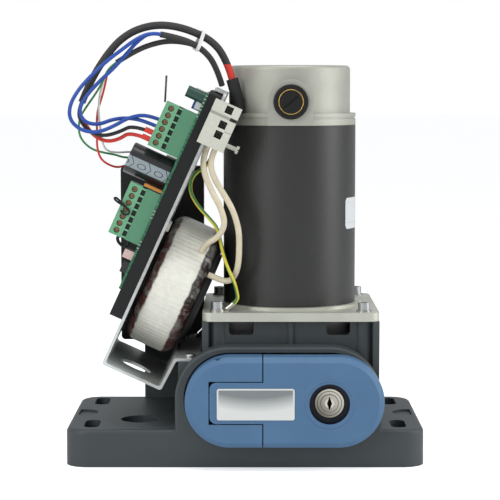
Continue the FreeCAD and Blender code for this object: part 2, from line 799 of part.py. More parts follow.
def pinion_bolt():
    seat = V(OUTPUT_X, PINION_FRONT + PINION_W, OUTPUT_Z)
    washer = ring(seat, Y, BOLT_WASHER_R, BOLT_R, BOLT_WASHER_T)
    head = hex_socket(seat + Y * BOLT_WASHER_T, Y, BOLT_HEAD_R / math.cos(math.pi / 6), BOLT_HEAD_H)
    length = BOLT_DEPTH - BOLT_SHORT
    shank = rod(seat - Y * length, Y, BOLT_R, length + BOLT_WASHER_T)
    return Part.makeCompound([washer, joined([head, shank])])


# Motor


def motor_flange():
    half = FLANGE_SIDE / 2
    plate = rounded_box(
        MOTOR_X - half, MOTOR_X + half, MOTOR_Y - half, MOTOR_Y + half, BOX_TOP, CAN_BASE,
        FLANGE_CORNER_R,
    )
    axis = V(MOTOR_X, MOTOR_Y, 0)
    boss = rod(axis + Z * (BOX_TOP - FLANGE_BOSS_H), Z, FLANGE_BOSS_R, FLANGE_BOSS_H + 1)
    register = ring(axis + Z * CAN_BASE, Z, REGISTER_R, CAN_R + FIT, REGISTER_H)
    bore = rod(axis, Z, ROTOR_R + 1, CAN_BASE)
    seat = rod(axis + Z * (CAN_BASE - ROTOR_BEARING_W), Z, ROTOR_BEARING_R, ROTOR_BEARING_W)
    holes = [rod(V(x, y, BOX_TOP), Z, M5_R, FLANGE_T) for x, y in flange_corners()]
    return drilled(joined([plate, boss, register]), [bore, seat, *holes])


def flange_screws():
    shapes = []
    for index, (x, y) in enumerate(flange_corners()):
        seat = V(x, y, CAN_BASE + (LUG_T if index == 0 else 0))
        shapes.append(ring(seat, Z, WASHER_R, M5_R, WASHER_T))
        top = seat + Z * WASHER_T
        length = M5_LENGTH - TAP_SHORT
        shapes.append(socket_screw(top, Z, M5_R, M5_HEAD_R, M5_HEAD_H, M5_SOCKET_R, length))
    return Part.makeCompound(shapes)


def motor_can():
    return ring(V(MOTOR_X, MOTOR_Y, CAN_BASE), Z, CAN_R, CAN_R - CAN_WALL, CAN_H)


def motor_end_cap():
    axis = V(MOTOR_X, MOTOR_Y, 0)
    shoulder = rod(axis + Z * CAP_BASE, Z, CAN_R, CAP_SHOULDER_H)
    upper = rod(axis + Z * CAP_BASE, Z, CAP_R, CAP_H)
    upper = upper.makeFillet(CAP_EDGE_R, rim_edges(upper, Z, CAP_TOP))
    spigot = rod(axis + Z * (CAP_BASE - CAP_SPIGOT_H), Z, CAN_R - CAN_WALL - FIT, CAP_SPIGOT_H)
    boss = rod(axis - Y * BRUSH_BOSS_REACH + Z * BRUSH_Z, Y, BRUSH_BOSS_R, 2 * BRUSH_BOSS_REACH)
    skirt = box(
        MOTOR_X - BRUSH_BOSS_R, MOTOR_X + BRUSH_BOSS_R,
        MOTOR_Y - BRUSH_BOSS_REACH, MOTOR_Y + BRUSH_BOSS_REACH, CAP_BASE, BRUSH_Z,
    )
    body = joined([shoulder, upper, spigot, boss, skirt])
    floor = CAP_TOP - CAP_WALL - ROTOR_BEARING_W
    room = rod(axis + Z * (CAP_BASE - CAP_SPIGOT_H), Z, CAP_R - CAP_WALL, floor - CAP_BASE + CAP_SPIGOT_H)
    seat = rod(axis + Z * floor, Z, ROTOR_BEARING_R, ROTOR_BEARING_W)
    bore = rod(
        axis - Y * BRUSH_BOSS_REACH + Z * BRUSH_Z, Y, BRUSH_BORE_R, 2 * BRUSH_BOSS_REACH
    )
    groove = ring(
        axis + Z * (CAP_BASE + CAP_GROOVE_Z), Z, CAN_R + 1, CAN_R - CAP_GROOVE_DEPTH, CAP_GROOVE_H
    )
    groove = groove.cut(skirt)
    return drilled(body, [room, seat, bore, groove])


def brush_caps():
    shapes = []
    for side in (-1, 1):
        face = V(MOTOR_X, MOTOR_Y + side * BRUSH_BOSS_REACH, BRUSH_Z)
        out = Y * side
        shank = rod(face - out * (BRUSH_BOSS_REACH - BRUSH_OUT), out, BRUSH_BORE_R - FIT, 12)
        disc = rod(face, out, BRUSH_CAP_R, BRUSH_CAP_T)
        disc = disc.makeFillet(1, rim_edges(disc, out, disc_height(face, out)))
        length, deep, half = BRUSH_CAP_SLOT_L / 2, BRUSH_CAP_SLOT_DEPTH, BRUSH_CAP_SLOT / 2
        slot = box(-length, length, -deep, deep, -half, half)
        slot.rotate(V(), Y, BRUSH_CAP_SLOT_TURN)
        slot.translate(face + out * BRUSH_CAP_T)
        shapes.append(joined([shank, disc]).cut(slot))
    return Part.makeCompound(shapes)


def disc_height(face, out):
    return face.dot(out) + BRUSH_CAP_T


def brushes():
    inner = COMMUTATOR_R + BRUSH_GAP
    shapes = []
    for side in (-1, 1):
        y0, y1 = sorted((MOTOR_Y + side * inner, MOTOR_Y + side * BRUSH_OUT))
        block = box(
            MOTOR_X - BRUSH_W / 2, MOTOR_X + BRUSH_W / 2, y0, y1,
            BRUSH_Z - BRUSH_H / 2, BRUSH_Z + BRUSH_H / 2,
        )
        shapes.append(block.cut(rod(V(MOTOR_X, MOTOR_Y, 0), Z, inner, CAP_TOP)))
    return Part.makeCompound(shapes)


def field_magnets():
    outer = CAN_R - CAN_WALL
    shell = ring(V(0, 0, MAGNET_Z), Z, outer, outer - MAGNET_T, MAGNET_L)
    half = math.radians(MAGNET_SPAN / 2)
    reach = 2 * outer
    shapes = []
    for side in (-1, 1):
        corners = [V(), V(side * reach * math.cos(half), -reach * math.sin(half), 0)]
        corners += [V(side * reach, 0, 0), V(side * reach * math.cos(half), reach * math.sin(half), 0)]
        wedge = prism(corners, Z * CAP_TOP)
        arc = shell.common(wedge)
        arc.translate(V(MOTOR_X, MOTOR_Y, 0))
        shapes.append(arc)
    return Part.makeCompound(shapes)


def rotor_bearings():
    axis = V(MOTOR_X, MOTOR_Y, 0)
    inner = ROTOR_R + SHAFT_GAP
    upper = CAP_TOP - CAP_WALL - ROTOR_BEARING_W
    lower = CAN_BASE - ROTOR_BEARING_W
    shapes = [bearing(axis + Z * z, Z, ROTOR_BEARING_R, inner, ROTOR_BEARING_W) for z in (lower, upper)]
    shapes.append(ring(axis + Z * (ROTOR_FOOT_Z - 1), Z, BUSH_R, inner, BUSH_L))
    return Part.makeCompound(shapes)


def rotor_shaft():
    length = CAP_TOP - CAP_WALL - 1 - ROTOR_FOOT_Z
    return rod(V(MOTOR_X, MOTOR_Y, ROTOR_FOOT_Z), Z, ROTOR_R, length)


def worm():
    pitch = math.pi * GEAR_MODULE
    outer, root = WORM_R + GEAR_MODULE, WORM_R - DEDENDUM * GEAR_MODULE
    core_bottom = OUTPUT_Z - WORM_LENGTH / 2
    core_length = WORM_LENGTH - 2 * WORM_INSET
    core = rod(V(MOTOR_X, MOTOR_Y, core_bottom + WORM_INSET), Z, root, core_length)
    turns = WORM_TURNS
    start = OUTPUT_Z - pitch * (turns // 2 + 0.5)
    helix = Part.makeHelix(pitch, pitch * turns, WORM_R)
    flank = math.tan(math.radians(PRESSURE_ANGLE))
    half = pitch * THREAD_SHARE / 2
    corners = []
    sunk = root - THREAD_SINK
    for radius, side in ((sunk, -1), (outer, -1), (outer, 1), (sunk, 1)):
        corners.append(V(radius, 0, side * (half - (radius - WORM_R) * flank)))
    section = Part.makePolygon(corners + [corners[0]])
    thread = helix.makePipeShell([section], True, True)
    thread.translate(V(MOTOR_X, MOTOR_Y, start))
    solid = core.fuse(thread)
    return solid.cut(rod(V(MOTOR_X, MOTOR_Y, core_bottom), Z, ROTOR_R, WORM_LENGTH))


def armature():
    axis = V(MOTOR_X, MOTOR_Y, 0)
    core = ring(axis + Z * ARMATURE_Z, Z, ARMATURE_R, ROTOR_R, ARMATURE_L)
    slots = []
    for k in range(ARMATURE_SLOTS):
        half = ARMATURE_SLOT_W / 2
        slot = box(ARMATURE_R - ARMATURE_SLOT_D, ARMATURE_R + 1, -half, half, 0, ARMATURE_L)
        slot.rotate(V(), Z, k * 360 / ARMATURE_SLOTS)
        slot.translate(axis + Z * ARMATURE_Z)
        slots.append(slot)
    ends = [
        ring(axis + Z * z, Z, WINDING_R, ROTOR_R, WINDING_L)
        for z in (ARMATURE_Z - WINDING_L, ARMATURE_Z + ARMATURE_L)
    ]
    return Part.makeCompound([drilled(core, slots), *ends])


def commutator():
    start = V(MOTOR_X, MOTOR_Y, BRUSH_Z - COMMUTATOR_L / 2)
    return ring(start, Z, COMMUTATOR_R, ROTOR_R, COMMUTATOR_L)


# Release lever group


def lever_outline(y0, y1):
    return stadium(LEVER_LEFT, LEVER_RIGHT, LEVER_R, DRUM_Z, y0, y1)


def chamfered_face(solid):
    return solid.makeChamfer(LEVER_CHAMFER, rim_edges(solid, Y, LEVER_FACE))


def tongue_window(y0, y1, grow):
    """The opening in the clevis that the lever's tongue fills, made larger by grow."""
    solid = box(
        WINDOW_LEFT - grow, SPLIT_X + 30, y0, y1, WINDOW_BOTTOM - grow, WINDOW_TOP + grow
    )
    left = edges_along(solid, Y, lambda middle: middle.x < 0)
    return solid.makeFillet(WINDOW_CORNER_R, left)


def release_clevis():
    whole = chamfered_face(lever_outline(LEVER_FACE, POCKET_FLOOR))
    left_half = whole.common(box(LEVER_LEFT - 1, SPLIT_X, LEVER_FACE - 1, 0, 0, 2 * DRUM_Z))
    reach = math.hypot(HINGE_X - WINDOW_LEFT, HINGE_Y - LEVER_FACE)
    relief = rod(V(HINGE_X, HINGE_Y, WINDOW_BOTTOM), Z, reach, WINDOW_TOP - WINDOW_BOTTOM)
    pin = rod(V(HINGE_X, HINGE_Y, 0), Z, HINGE_PIN_R, 2 * DRUM_Z)
    room = tongue_window(LEVER_FACE - 1, POCKET_FLOOR, 0)
    heel_reach = HEEL_BASE + HEEL_RATE * math.radians(RELEASE_SWING) + HEEL_ROOM
    half = HEEL_W / 2 + HEEL_ROOM
    across = (LEVER_LEFT - 1, LEVER_RIGHT + 1)
    heel_room = rod(V(HINGE_X, HINGE_Y, OUTPUT_Z - half), Z, heel_reach, 2 * half)
    heel_room = heel_room.common(box(*across, LEVER_FACE + HEEL_COVER, 0, 0, 2 * DRUM_Z))
    stop = HINGE_PIN_INSET
    pin = pin.common(box(*across, LEVER_FACE, 0, DRUM_Z - LEVER_R + stop, DRUM_Z + LEVER_R + 1))
    return drilled(left_half, [room, relief, heel_room, pin])


def hinge_pin():
    bottom = DRUM_Z - LEVER_R + HINGE_PIN_INSET
    top = DRUM_Z + LEVER_R - HINGE_PIN_INSET
    return rod(V(HINGE_X, HINGE_Y, bottom), Z, HINGE_PIN_R, top - bottom)


def heel():
    """The lever's cam. Its involute side lifts the plunger evenly as the lever swings."""
    swing = math.radians(RELEASE_SWING)
    side = []
    for k in range(HEEL_STEPS + 1):
        turn = swing * k / HEEL_STEPS
        lift = HEEL_BASE + HEEL_RATE * turn
        x = -HEEL_RATE * math.cos(turn) - lift * math.sin(turn)
        y = -HEEL_RATE * math.sin(turn) + lift * math.cos(turn)
        side.append(V(HINGE_X + x, HINGE_Y + y, 0))
    curve = Part.BSplineCurve()
    curve.interpolate(side)
    hub = [V(HINGE_X, HINGE_Y - HEEL_RATE, 0), V(HINGE_X + HEEL_ROOT, HINGE_Y, 0)]
    hub.append(V(HINGE_X + HEEL_ROOT, HINGE_Y + HEEL_BASE - 1, 0))
    back = Part.makePolygon([side[-1], *hub, side[0]])
    outline = Part.Wire([curve.toShape(), *back.Edges])
    solid = Part.Face(outline).extrude(Z * HEEL_W)
    solid.translate(Z * (OUTPUT_Z - HEEL_W / 2))
    return solid


def release_lever():
    whole = chamfered_face(lever_outline(LEVER_FACE, LEVER_BACK))
    right_edge = SPLIT_X + SPLIT_GAP
    right = whole.common(box(right_edge, LEVER_RIGHT + 1, LEVER_FACE, 0, 0, 2 * DRUM_Z))
    wall = LEVER_WALL
    room = stadium(
        LEVER_LEFT + wall, LEVER_RIGHT - wall, LEVER_R - wall, DRUM_Z, LEVER_FACE + LEVER_SKIN,
        LEVER_BACK,
    )
    room = room.common(box(right_edge + wall, LEVER_RIGHT, LEVER_FACE, 0, 0, 2 * DRUM_Z))
    ring_seat = rod(V(LOCK_X, LEVER_FACE, LOCK_Z), Y, LOCK_SEAT_R, LEVER_BACK - LEVER_FACE)
    tongue_end = HINGE_X - WINDOW_LEFT - WINDOW_GAP
    tongue = box(
        HINGE_X - tongue_end, right_edge + wall, LEVER_FACE, LEVER_FACE + TONGUE_T,
        WINDOW_BOTTOM + WINDOW_GAP, WINDOW_TOP - WINDOW_GAP,
    )
    tongue = tongue.makeFillet(
        TONGUE_CORNER_R, edges_along(tongue, Y, lambda middle: middle.x < HINGE_X)
    )
    solid = joined([right.cut(room), ring_seat, tongue, heel()])
    bore = rod(V(HINGE_X, HINGE_Y, 0), Z, HINGE_PIN_R + HINGE_CLEAR, 2 * DRUM_Z)
    recess = rod(V(LOCK_X, LEVER_FACE, LOCK_Z), Y, LOCK_RECESS_R, LOCK_RECESS_DEPTH)
    lock_bore = rod(V(LOCK_X, LEVER_FACE, LOCK_Z), Y, LOCK_R, LEVER_BACK - LEVER_FACE)
    return drilled(solid, [bore, recess, lock_bore])


def lever_nameplate():
    return rounded_box(
        NAMEPLATE_X[0], NAMEPLATE_X[1], LEVER_FACE - NAMEPLATE_T, LEVER_FACE,
        NAMEPLATE_Z[0], NAMEPLATE_Z[1], NAMEPLATE_R, Y,
    )


def lock_body():
    seat = V(LOCK_X, LEVER_FACE + LOCK_RECESS_DEPTH, LOCK_Z)
    barrel = rod(seat, Y, LOCK_R, LOCK_LENGTH - LOCK_RECESS_DEPTH)
    face = rod(seat - Y * LOCK_FLANGE_T, Y, LOCK_FLANGE_R, LOCK_FLANGE_T)
    face = face.makeChamfer(LOCK_EDGE, rim_edges(face, Y, seat.y - LOCK_FLANGE_T))
    bore = rod(seat - Y * LOCK_FLANGE_T, Y, PLUG_R + SHAFT_GAP, LOCK_LENGTH + LOCK_FLANGE_T)
    return joined([barrel, face]).cut(bore)


def lock_plug():
    front = LEVER_FACE + LOCK_RECESS_DEPTH - LOCK_FLANGE_T - PLUG_PROUD
    back = LEVER_FACE + LOCK_LENGTH + CAM_PLAY
    barrel = rod(V(LOCK_X, front, LOCK_Z), Y, PLUG_R, back + CAM_T - front)
    half = CAM_W / 2
    arm = box(LOCK_X, LOCK_X + CAM_REACH, back, back + CAM_T, LOCK_Z - half, LOCK_Z + half)
    tip = rod(V(LOCK_X + CAM_REACH, back, LOCK_Z), Y, half, CAM_T)
    sides = ((0, KEYWAY_H), (KEYWAY_W, 0), (0, -KEYWAY_H), (-KEYWAY_W, 0))
    corners = [V(LOCK_X + dx / 2, front, LOCK_Z + dz / 2) for dx, dz in sides]
    key = prism(corners, Y * KEYWAY_DEPTH)
    return joined([barrel, arm, tip]).cut(key)


def release_plunger():
    """The pin that frees the shaft. Its crosshead reaches left to the lever's heel."""
    front = HINGE_Y + HEEL_BASE + PLUNGER_GAP
    head = rod(V(OUTPUT_X, front, OUTPUT_Z), Y, PLUNGER_HEAD_R, PLUNGER_HEAD_T)
    stem = rod(V(OUTPUT_X, front, OUTPUT_Z), Y, PLUNGER_R, PLUNGER_LENGTH)
    half = PLUNGER_ARM_W / 2
    arm = box(
        HINGE_X - HEEL_RATE - PLUNGER_ARM_REACH, OUTPUT_X, front, front + PLUNGER_HEAD_T,
        OUTPUT_Z - half, OUTPUT_Z + half,
    )
    return joined([head, arm, stem])


def plunger_spring():
    front = HINGE_Y + HEEL_BASE + PLUNGER_GAP + PLUNGER_HEAD_T + SPRING_WIRE_R
    length = POCKET_FLOOR - SPRING_WIRE_R - front
    helix = Part.makeHelix(length / SPRING_TURNS, length, SPRING_R)
    section = Part.Wire(Part.Circle(V(SPRING_R, 0, 0), Y, SPRING_WIRE_R).toShape())
    coil = helix.makePipeShell([section], True, True)
    coil.rotate(V(), X, -90)
    coil.translate(V(OUTPUT_X, front, OUTPUT_Z))
    return coil


# Bracket, tray and board


def strip(points, thickness, y0, y1):
    """A sheet-metal strip along a path of (x, z) points, with mitred bends."""
    path = [V(x, 0, z) for x, z in points]
    sides = ([], [])
    for index, point in enumerate(path):
        before = (point - path[index - 1]).normalize() if index else None
        after = (path[index + 1] - point).normalize() if index + 1 < len(path) else None
        before, after = before or after, after or before
        normal = V(before.z + after.z, 0, -before.x - after.x).normalize()
        reach = thickness / 2 / normal.dot(V(before.z, 0, -before.x))
        for side, sign in zip(sides, (1, -1)):
            side.append(point + normal * reach * sign + Y * y0)
    return prism(sides[0] + sides[1][::-1], Y * (y1 - y0))


def mounting_bracket():
    top = leaning(0, 0, BRACKET_LENGTH)
    path = [(BRACKET_FOOT_X, BRACKET_KNEE[1]), BRACKET_KNEE, BRACKET_HEEL, BRACKET_TOE, (top.x, top.z)]
    solid = strip(path, PLATE_T, BRACKET_FRONT, BRACKET_BACK)
    for x, z in (BRACKET_KNEE, BRACKET_HEEL, BRACKET_TOE):
        near = lambda middle: math.hypot(middle.x - x, middle.z - z) < 2.5 * PLATE_T
        bends = sorted(edges_along(solid, Y, near), key=lambda e: -e.CenterOfMass.z)
        solid = solid.makeFillet(BEND_R, bends)
    top_corners = [
        e for e in edges_along(solid, OUTWARD)
        if (e.CenterOfMass - leaning(0, 0, 0)).dot(UPHILL) > BRACKET_LENGTH - 1
    ]
    solid = solid.makeFillet(BRACKET_CORNER_R, top_corners)
    lip = leaning_box(LIP_N, PLATE_T / 2, *LIP_Y, BRACKET_LENGTH - PLATE_T, BRACKET_LENGTH)
    solid = joined([solid, lip])
    (x0, z0), (x1, z1) = BRACKET_TOE, BRACKET_HEEL
    slope = V(x1 - x0, 0, z1 - z0).normalize()
    across = slope.cross(Y)
    middle = V((x0 + x1) / 2, BRACKET_HOLE_Y, (z0 + z1) / 2)
    holes = [rod(middle - across * 5, across, BRACKET_HOLE_R, 10)]
    holes += [rod(V(PAN_X, y, LEDGE_Z), Z, PAN_R, PLATE_T) for y in PAN_YS]
    holes += [rod(leaning(-PLATE_T, CLIP_Y, d), OUTWARD, CLIP_R, 2 * PLATE_T) for d in CLIP_D]
    holes.append(rod(leaning(-PLATE_T, TOROID_Y, TOROID_D), OUTWARD, TOROID_BOLT_R, 2 * PLATE_T))
    return drilled(solid, holes)


def pan_screw(seat, axis):
    dome = rod(seat, axis, PAN_HEAD_R, PAN_HEAD_H)
    dome = dome.makeFillet(PAN_EDGE_R, rim_edges(dome, axis, seat.dot(axis) + PAN_HEAD_H))
    length = PAN_LENGTH - PAN_GRIP
    body = rod(seat - axis * length, axis, PAN_R, length)
    top = seat + axis * PAN_HEAD_H
    across = X
    other = axis.cross(across)
    cross = []
    for a, b in ((across, other), (other, across)):
        long, wide = a * CROSS_HALF_L, b * CROSS_HALF_W
        corners = [long + wide, wide - long, (long + wide) * -1, long - wide]
        cross.append(prism([top + c for c in corners], axis * -CROSS_DEPTH))
    return drilled(joined([dome, body]), cross)


def bracket_screws():
    on_ledge = [pan_screw(V(PAN_X, y, LEDGE_Z + PLATE_T), Z) for y in PAN_YS]
    on_lug = [pan_screw(place + Y * SENSOR_LUG_T, Y) for place in sensor_holes()]
    return Part.makeCompound(on_ledge + on_lug)


def board_tray():
    outer_n, inner_n = -PLATE_T / 2 - TRAY_T, -PLATE_T / 2
    solid = leaning_box(outer_n, inner_n, *TRAY_Y, *TRAY_D)
    solid = solid.makeFillet(TRAY_R, edges_along(solid, OUTWARD))
    wall = TRAY_WALL
    room = leaning_box(
        outer_n, inner_n - TRAY_FLOOR, TRAY_Y[0] + wall, TRAY_Y[1] - wall,
        TRAY_D[0] + wall, TRAY_D[1] - wall,
    )
    room = room.makeFillet(TRAY_INNER_R, edges_along(room, OUTWARD))
    ribs = [
        leaning_box(
            outer_n, inner_n - TRAY_FLOOR, TRAY_Y[0] + wall, TRAY_Y[1] - wall,
            d - RIB_T / 2, d + RIB_T / 2,
        )
        for d in (BOARD_D[0] + RIB_INSET + RIB_STEP * k for k in range(TRAY_RIBS))
    ]
    holes = [rod(leaning(-TRAY_T, CLIP_Y, d), OUTWARD, CLIP_R, 2 * TRAY_T) for d in CLIP_D]
    return drilled(joined([drilled(solid, [room.cut(Part.makeCompound(ribs))])]), holes)


def tray_clips():
    shapes = []
    for d in CLIP_D:
        head = rod(leaning(PLATE_T / 2, CLIP_Y, d), OUTWARD, CLIP_HEAD_R, CLIP_HEAD_T)
        stem = rod(leaning(-PLATE_T / 2 - TRAY_FLOOR, CLIP_Y, d), OUTWARD, CLIP_R, TRAY_FLOOR + PLATE_T)
        shapes.append(joined([head, stem]))
    return Part.makeCompound(shapes)


def control_board():
    face = BOARD_FACE
    solid = leaning_box(face, face + BOARD_T, *BOARD_Y, *BOARD_D)
    return solid.makeFillet(BOARD_CORNER_R, edges_along(solid, OUTWARD))


def terminal_span(first, ways):
    return first - WAY / 2 - PLUG_EDGE, first + (ways - 0.5) * WAY + PLUG_EDGE


def terminal_headers():
    shapes = []
    for first, ways in ((UPPER_FIRST_D, UPPER_WAYS), (LOWER_FIRST_D, LOWER_WAYS)):
        low, high = terminal_span(first, ways)
        shapes.append(leaning_box(
            BOARD_FACE - HEADER_T, BOARD_FACE, BOARD_Y[0], BOARD_Y[0] + PLUG_DEPTH, low, high
        ))
    return Part.makeCompound(shapes)


def way_places(first, ways):
    return [first + WAY * k for k in range(ways)]


def terminal_plug(first, ways):
    """A plug-in terminal: a slotted neck on the header, and a body with its holes."""
    low, high = terminal_span(first, ways)
    front, back = BOARD_Y[0], BOARD_Y[0] + PLUG_DEPTH
    neck_n = BOARD_FACE - HEADER_T
    body = leaning_box(PLUG_FACE, neck_n - PLUG_NECK, front, back, low, high)
    neck = leaning_box(neck_n - PLUG_NECK, neck_n, front + FIN_H, back, low, high)
    fins = [
        leaning_box(neck_n - PLUG_NECK, neck_n, front, front + FIN_H, d - FIN_T / 2, d + FIN_T / 2)
        for d in way_places(first - WAY / 2, ways + 1)
    ]
    solid = joined([body, neck, *fins])
    middle = PLUG_FACE + PLUG_T / 2
    holes = []
    for d in way_places(first, ways):
        holes.append(rod(leaning(middle, front, d), Y, TERMINAL_HOLE_R, TERMINAL_HOLE_DEPTH))
        holes.append(rod(leaning(PLUG_FACE, front + ENTRY_BELOW, d), OUTWARD, ENTRY_R, ENTRY_DEPTH))
    return drilled(solid, holes)


def upper_plug():
    return terminal_plug(UPPER_FIRST_D, UPPER_WAYS)


def lower_plug():
    return terminal_plug(LOWER_FIRST_D, LOWER_WAYS)


def terminal_screws():
    bottom = BOARD_Y[0] + TERMINAL_HOLE_DEPTH
    middle = PLUG_FACE + PLUG_T / 2
    shapes = []
    for d in way_places(UPPER_FIRST_D, UPPER_WAYS) + way_places(LOWER_FIRST_D, LOWER_WAYS):
        head = rod(leaning(middle, bottom - CLAMP_HEAD_H, d), Y, TERMINAL_SCREW_R, CLAMP_HEAD_H)
        slot = leaning_box(
            middle - PLUG_T / 2, middle + PLUG_T / 2, bottom - CLAMP_HEAD_H, bottom - CLAMP_SLOT_FLOOR,
            d - CLAMP_SLOT_W / 2, d + CLAMP_SLOT_W / 2,
        )
        shapes.append(head.cut(slot))
    return Part.makeCompound(shapes)


def main_capacitor():
    base = leaning(BOARD_FACE, CAPACITOR_Y, CAPACITOR_D)
    can = rod(base, OUTWARD * -1, CAPACITOR_R, CAPACITOR_L)
    ends = [e for e in can.Edges if isinstance(e.Curve, Part.Circle)]
    return can.makeFillet(CAPACITOR_EDGE_R, ends)


def board_block(n, y0, y1, d0, d1):
    return leaning_box(BOARD_FACE - n, BOARD_FACE, y0, y1, d0, d1)


def board_components():
    """The smaller parts soldered on the board."""
    blocks = [board_block(*block) for block in BOARD_BLOCKS]
    small_capacitor = rod(
        leaning(BOARD_FACE, SMALL_CAPACITOR_Y, SMALL_CAPACITOR_D), OUTWARD * -1,
        SMALL_CAPACITOR_R, SMALL_CAPACITOR_L,
    )
    header_y = (SIGNAL_PINS_Y[0] - SIGNAL_HEADER_EDGE, SIGNAL_PINS_Y[-1] + SIGNAL_HEADER_EDGE)
    half = SIGNAL_HEADER_W / 2
    header = board_block(SIGNAL_HEADER_H, *header_y, SIGNAL_D - half, SIGNAL_D + half)
    return Part.makeCompound([small_capacitor, header, *blocks])


def mains_terminal():
    near = PLATE_T / 2
    low, high = MAINS_D
    front, back = MAINS_CHEEK_Y, MAINS_Y[1]
    body = leaning_box(near, near + MAINS_N, MAINS_Y[0], back, low, high)
    cheek = leaning_box(MAINS_CHEEK_N, near + MAINS_N, front, MAINS_Y[0], low, high)
    solid = joined([body, cheek])
    holes = []
    half = MAINS_HOLE / 2
    for d in MAINS_WAYS_D:
        n = near + MAINS_HOLE_N
        holes.append(leaning_box(n - half, n + half, front, front + MAINS_HOLE_DEPTH, d - half, d + half))
    notch = MAINS_NOTCH / 2
    holes.append(leaning_box(
        near + MAINS_N - MAINS_NOTCH_DEPTH, near + MAINS_N, front, back,
        MAINS_NOTCH_D - notch, MAINS_NOTCH_D + notch,
    ))
    return drilled(solid, holes)


def nylon_screw():
    base = leaning(PLATE_T / 2 + MAINS_N, sum(MAINS_Y) / 2, NYLON_D)
    shaft = rod(base, OUTWARD, NYLON_R, NYLON_L)
    head = rod(base + OUTWARD * NYLON_L, OUTWARD, NYLON_HEAD_R, NYLON_HEAD_L)
    end = PLATE_T / 2 + MAINS_N + NYLON_L + NYLON_HEAD_L
    half = NYLON_SLOT / 2
    slot = leaning_box(end - NYLON_HEAD_L / 2, end, *MAINS_Y, NYLON_D - half, NYLON_D + half)
    return joined([shaft, head]).cut(slot)


# Transformer


def toroid_profile():
    """Radius and height of the wound ring's section, from the axis outwards."""
    half = TOROID_W / 2
    return [(TOROID_HOLE_R, -half), (TOROID_R, -half), (TOROID_R, half), (TOROID_HOLE_R, half)]


def toroid_transformer():
    centre = leaning(TOROID_N, TOROID_Y, TOROID_D)
    solid = revolved(toroid_profile(), centre, OUTWARD, UPHILL)
    rims = [e for e in solid.Edges if isinstance(e.Curve, Part.Circle)]
    return solid.makeFillet(TOROID_EDGE_R, rims)


def toroid_pads():
    centre = leaning(0, TOROID_Y, TOROID_D)
    near = PLATE_T / 2
    inner = ring(centre + OUTWARD * near, OUTWARD, PAD_R, TOROID_BOLT_R, PAD_T)
    far = near + PAD_T + TOROID_W
    outer = ring(centre + OUTWARD * far, OUTWARD, OUTER_PAD_R, DISH_RIM_R, PAD_T)
    return Part.makeCompound([inner, outer])


def toroid_clamp():
    top = PLATE_T / 2 + 2 * PAD_T + TOROID_W
    floor = top - DISH_DEPTH
    profile = [
        (TOROID_BOLT_R, floor), (DISH_FLOOR_R, floor), (DISH_RIM_R, top), (DISH_R, top),
        (DISH_R, top + DISH_T), (DISH_RIM_R - 1, top + DISH_T), (DISH_FLOOR_R - 1, floor + DISH_T),
        (TOROID_BOLT_R, floor + DISH_T),
    ]
    return revolved(profile, leaning(0, TOROID_Y, TOROID_D), OUTWARD, UPHILL)


def toroid_bolt():
    top = PLATE_T / 2 + 2 * PAD_T + TOROID_W - DISH_DEPTH + DISH_T
    seat = leaning(top, TOROID_Y, TOROID_D)
    shank = rod(leaning(-PLATE_T / 2, TOROID_Y, TOROID_D), OUTWARD, TOROID_BOLT_R, top + 1)
    head = prism(
        [seat + (UPHILL * math.cos(k * math.pi / 3) + Y * math.sin(k * math.pi / 3))
         * TOROID_BOLT_HEAD_R for k in range(6)],
        OUTWARD * TOROID_BOLT_HEAD_H,
    )
    return joined([shank, head])


def sensor_housing():
    body = rounded_box(*SENSOR_X, *SENSOR_Y, *SENSOR_Z, SENSOR_R, Y)
    front, back = SENSOR_Y
    notch = rod(V(OUTPUT_X, front, OUTPUT_Z), Y, COVER_R + COVER_ROOM, back - front)
    lug_back = COLUMN_Y[1] + SENSOR_LUG_T
    lug = box(*COLUMN_X, COLUMN_Y[1], lug_back, SENSOR_LUG_Z, SENSOR_Z[0] + SENSOR_R)
    holes = [rod(p, Y, PAN_R, SENSOR_LUG_T) for p in sensor_holes()]
    return drilled(joined([body.cut(notch), lug]), holes)


# Cable entry, lug, tie and cords


def cable_grommet():
    angle = math.radians(GROMMET_ANGLE)
    reach = CAP_R + GROMMET_R + FIT
    base = V(MOTOR_X + reach * math.cos(angle), MOTOR_Y + reach * math.sin(angle), 0)
    base.z = CAP_BASE + CAP_SHOULDER_H
    stub = rod(base, Z, GROMMET_R, GROMMET_H)
    lean = math.radians(TUBE_LEAN)
    along = V(-math.sin(lean), 0, math.cos(lean))
    return joined([stub, rod(base + Z * (GROMMET_H - 1), along, TUBE_R, TUBE_L)])


def tube_mouth():
    """Where the motor's cable leaves its rubber tube, and its direction there."""
    angle = math.radians(GROMMET_ANGLE)
    reach = CAP_R + GROMMET_R + FIT
    lean = math.radians(TUBE_LEAN)
    along = V(-math.sin(lean), 0, math.cos(lean))
    base = V(MOTOR_X + reach * math.cos(angle), MOTOR_Y + reach * math.sin(angle), 0)
    base.z = CAP_BASE + CAP_SHOULDER_H + GROMMET_H - 1
    return base + along * TUBE_L, along


def ring_lug():
    x, y = flange_corners()[0]
    seat = V(x, y, CAN_BASE)
    eye = ring(seat, Z, WASHER_R, M5_R, LUG_T)
    start, along = lug_barrel()
    barrel = rod(start, along, LUG_BARREL_R, LUG_BARREL_L)
    neck = box(
        x + WASHER_R - 1, start.x + 1, y - LUG_BARREL_R, y + LUG_BARREL_R, CAN_BASE, CAN_BASE + LUG_T
    )
    return joined([eye, neck, barrel])


def lug_barrel():
    """Where the lug's barrel starts, and its direction."""
    x, y = flange_corners()[0]
    rise = math.radians(LUG_RISE)
    along = V(math.cos(rise), 0, math.sin(rise))
    return V(x + WASHER_R + LUG_NECK, y, CAN_BASE + LUG_BARREL_R * math.cos(rise)), along


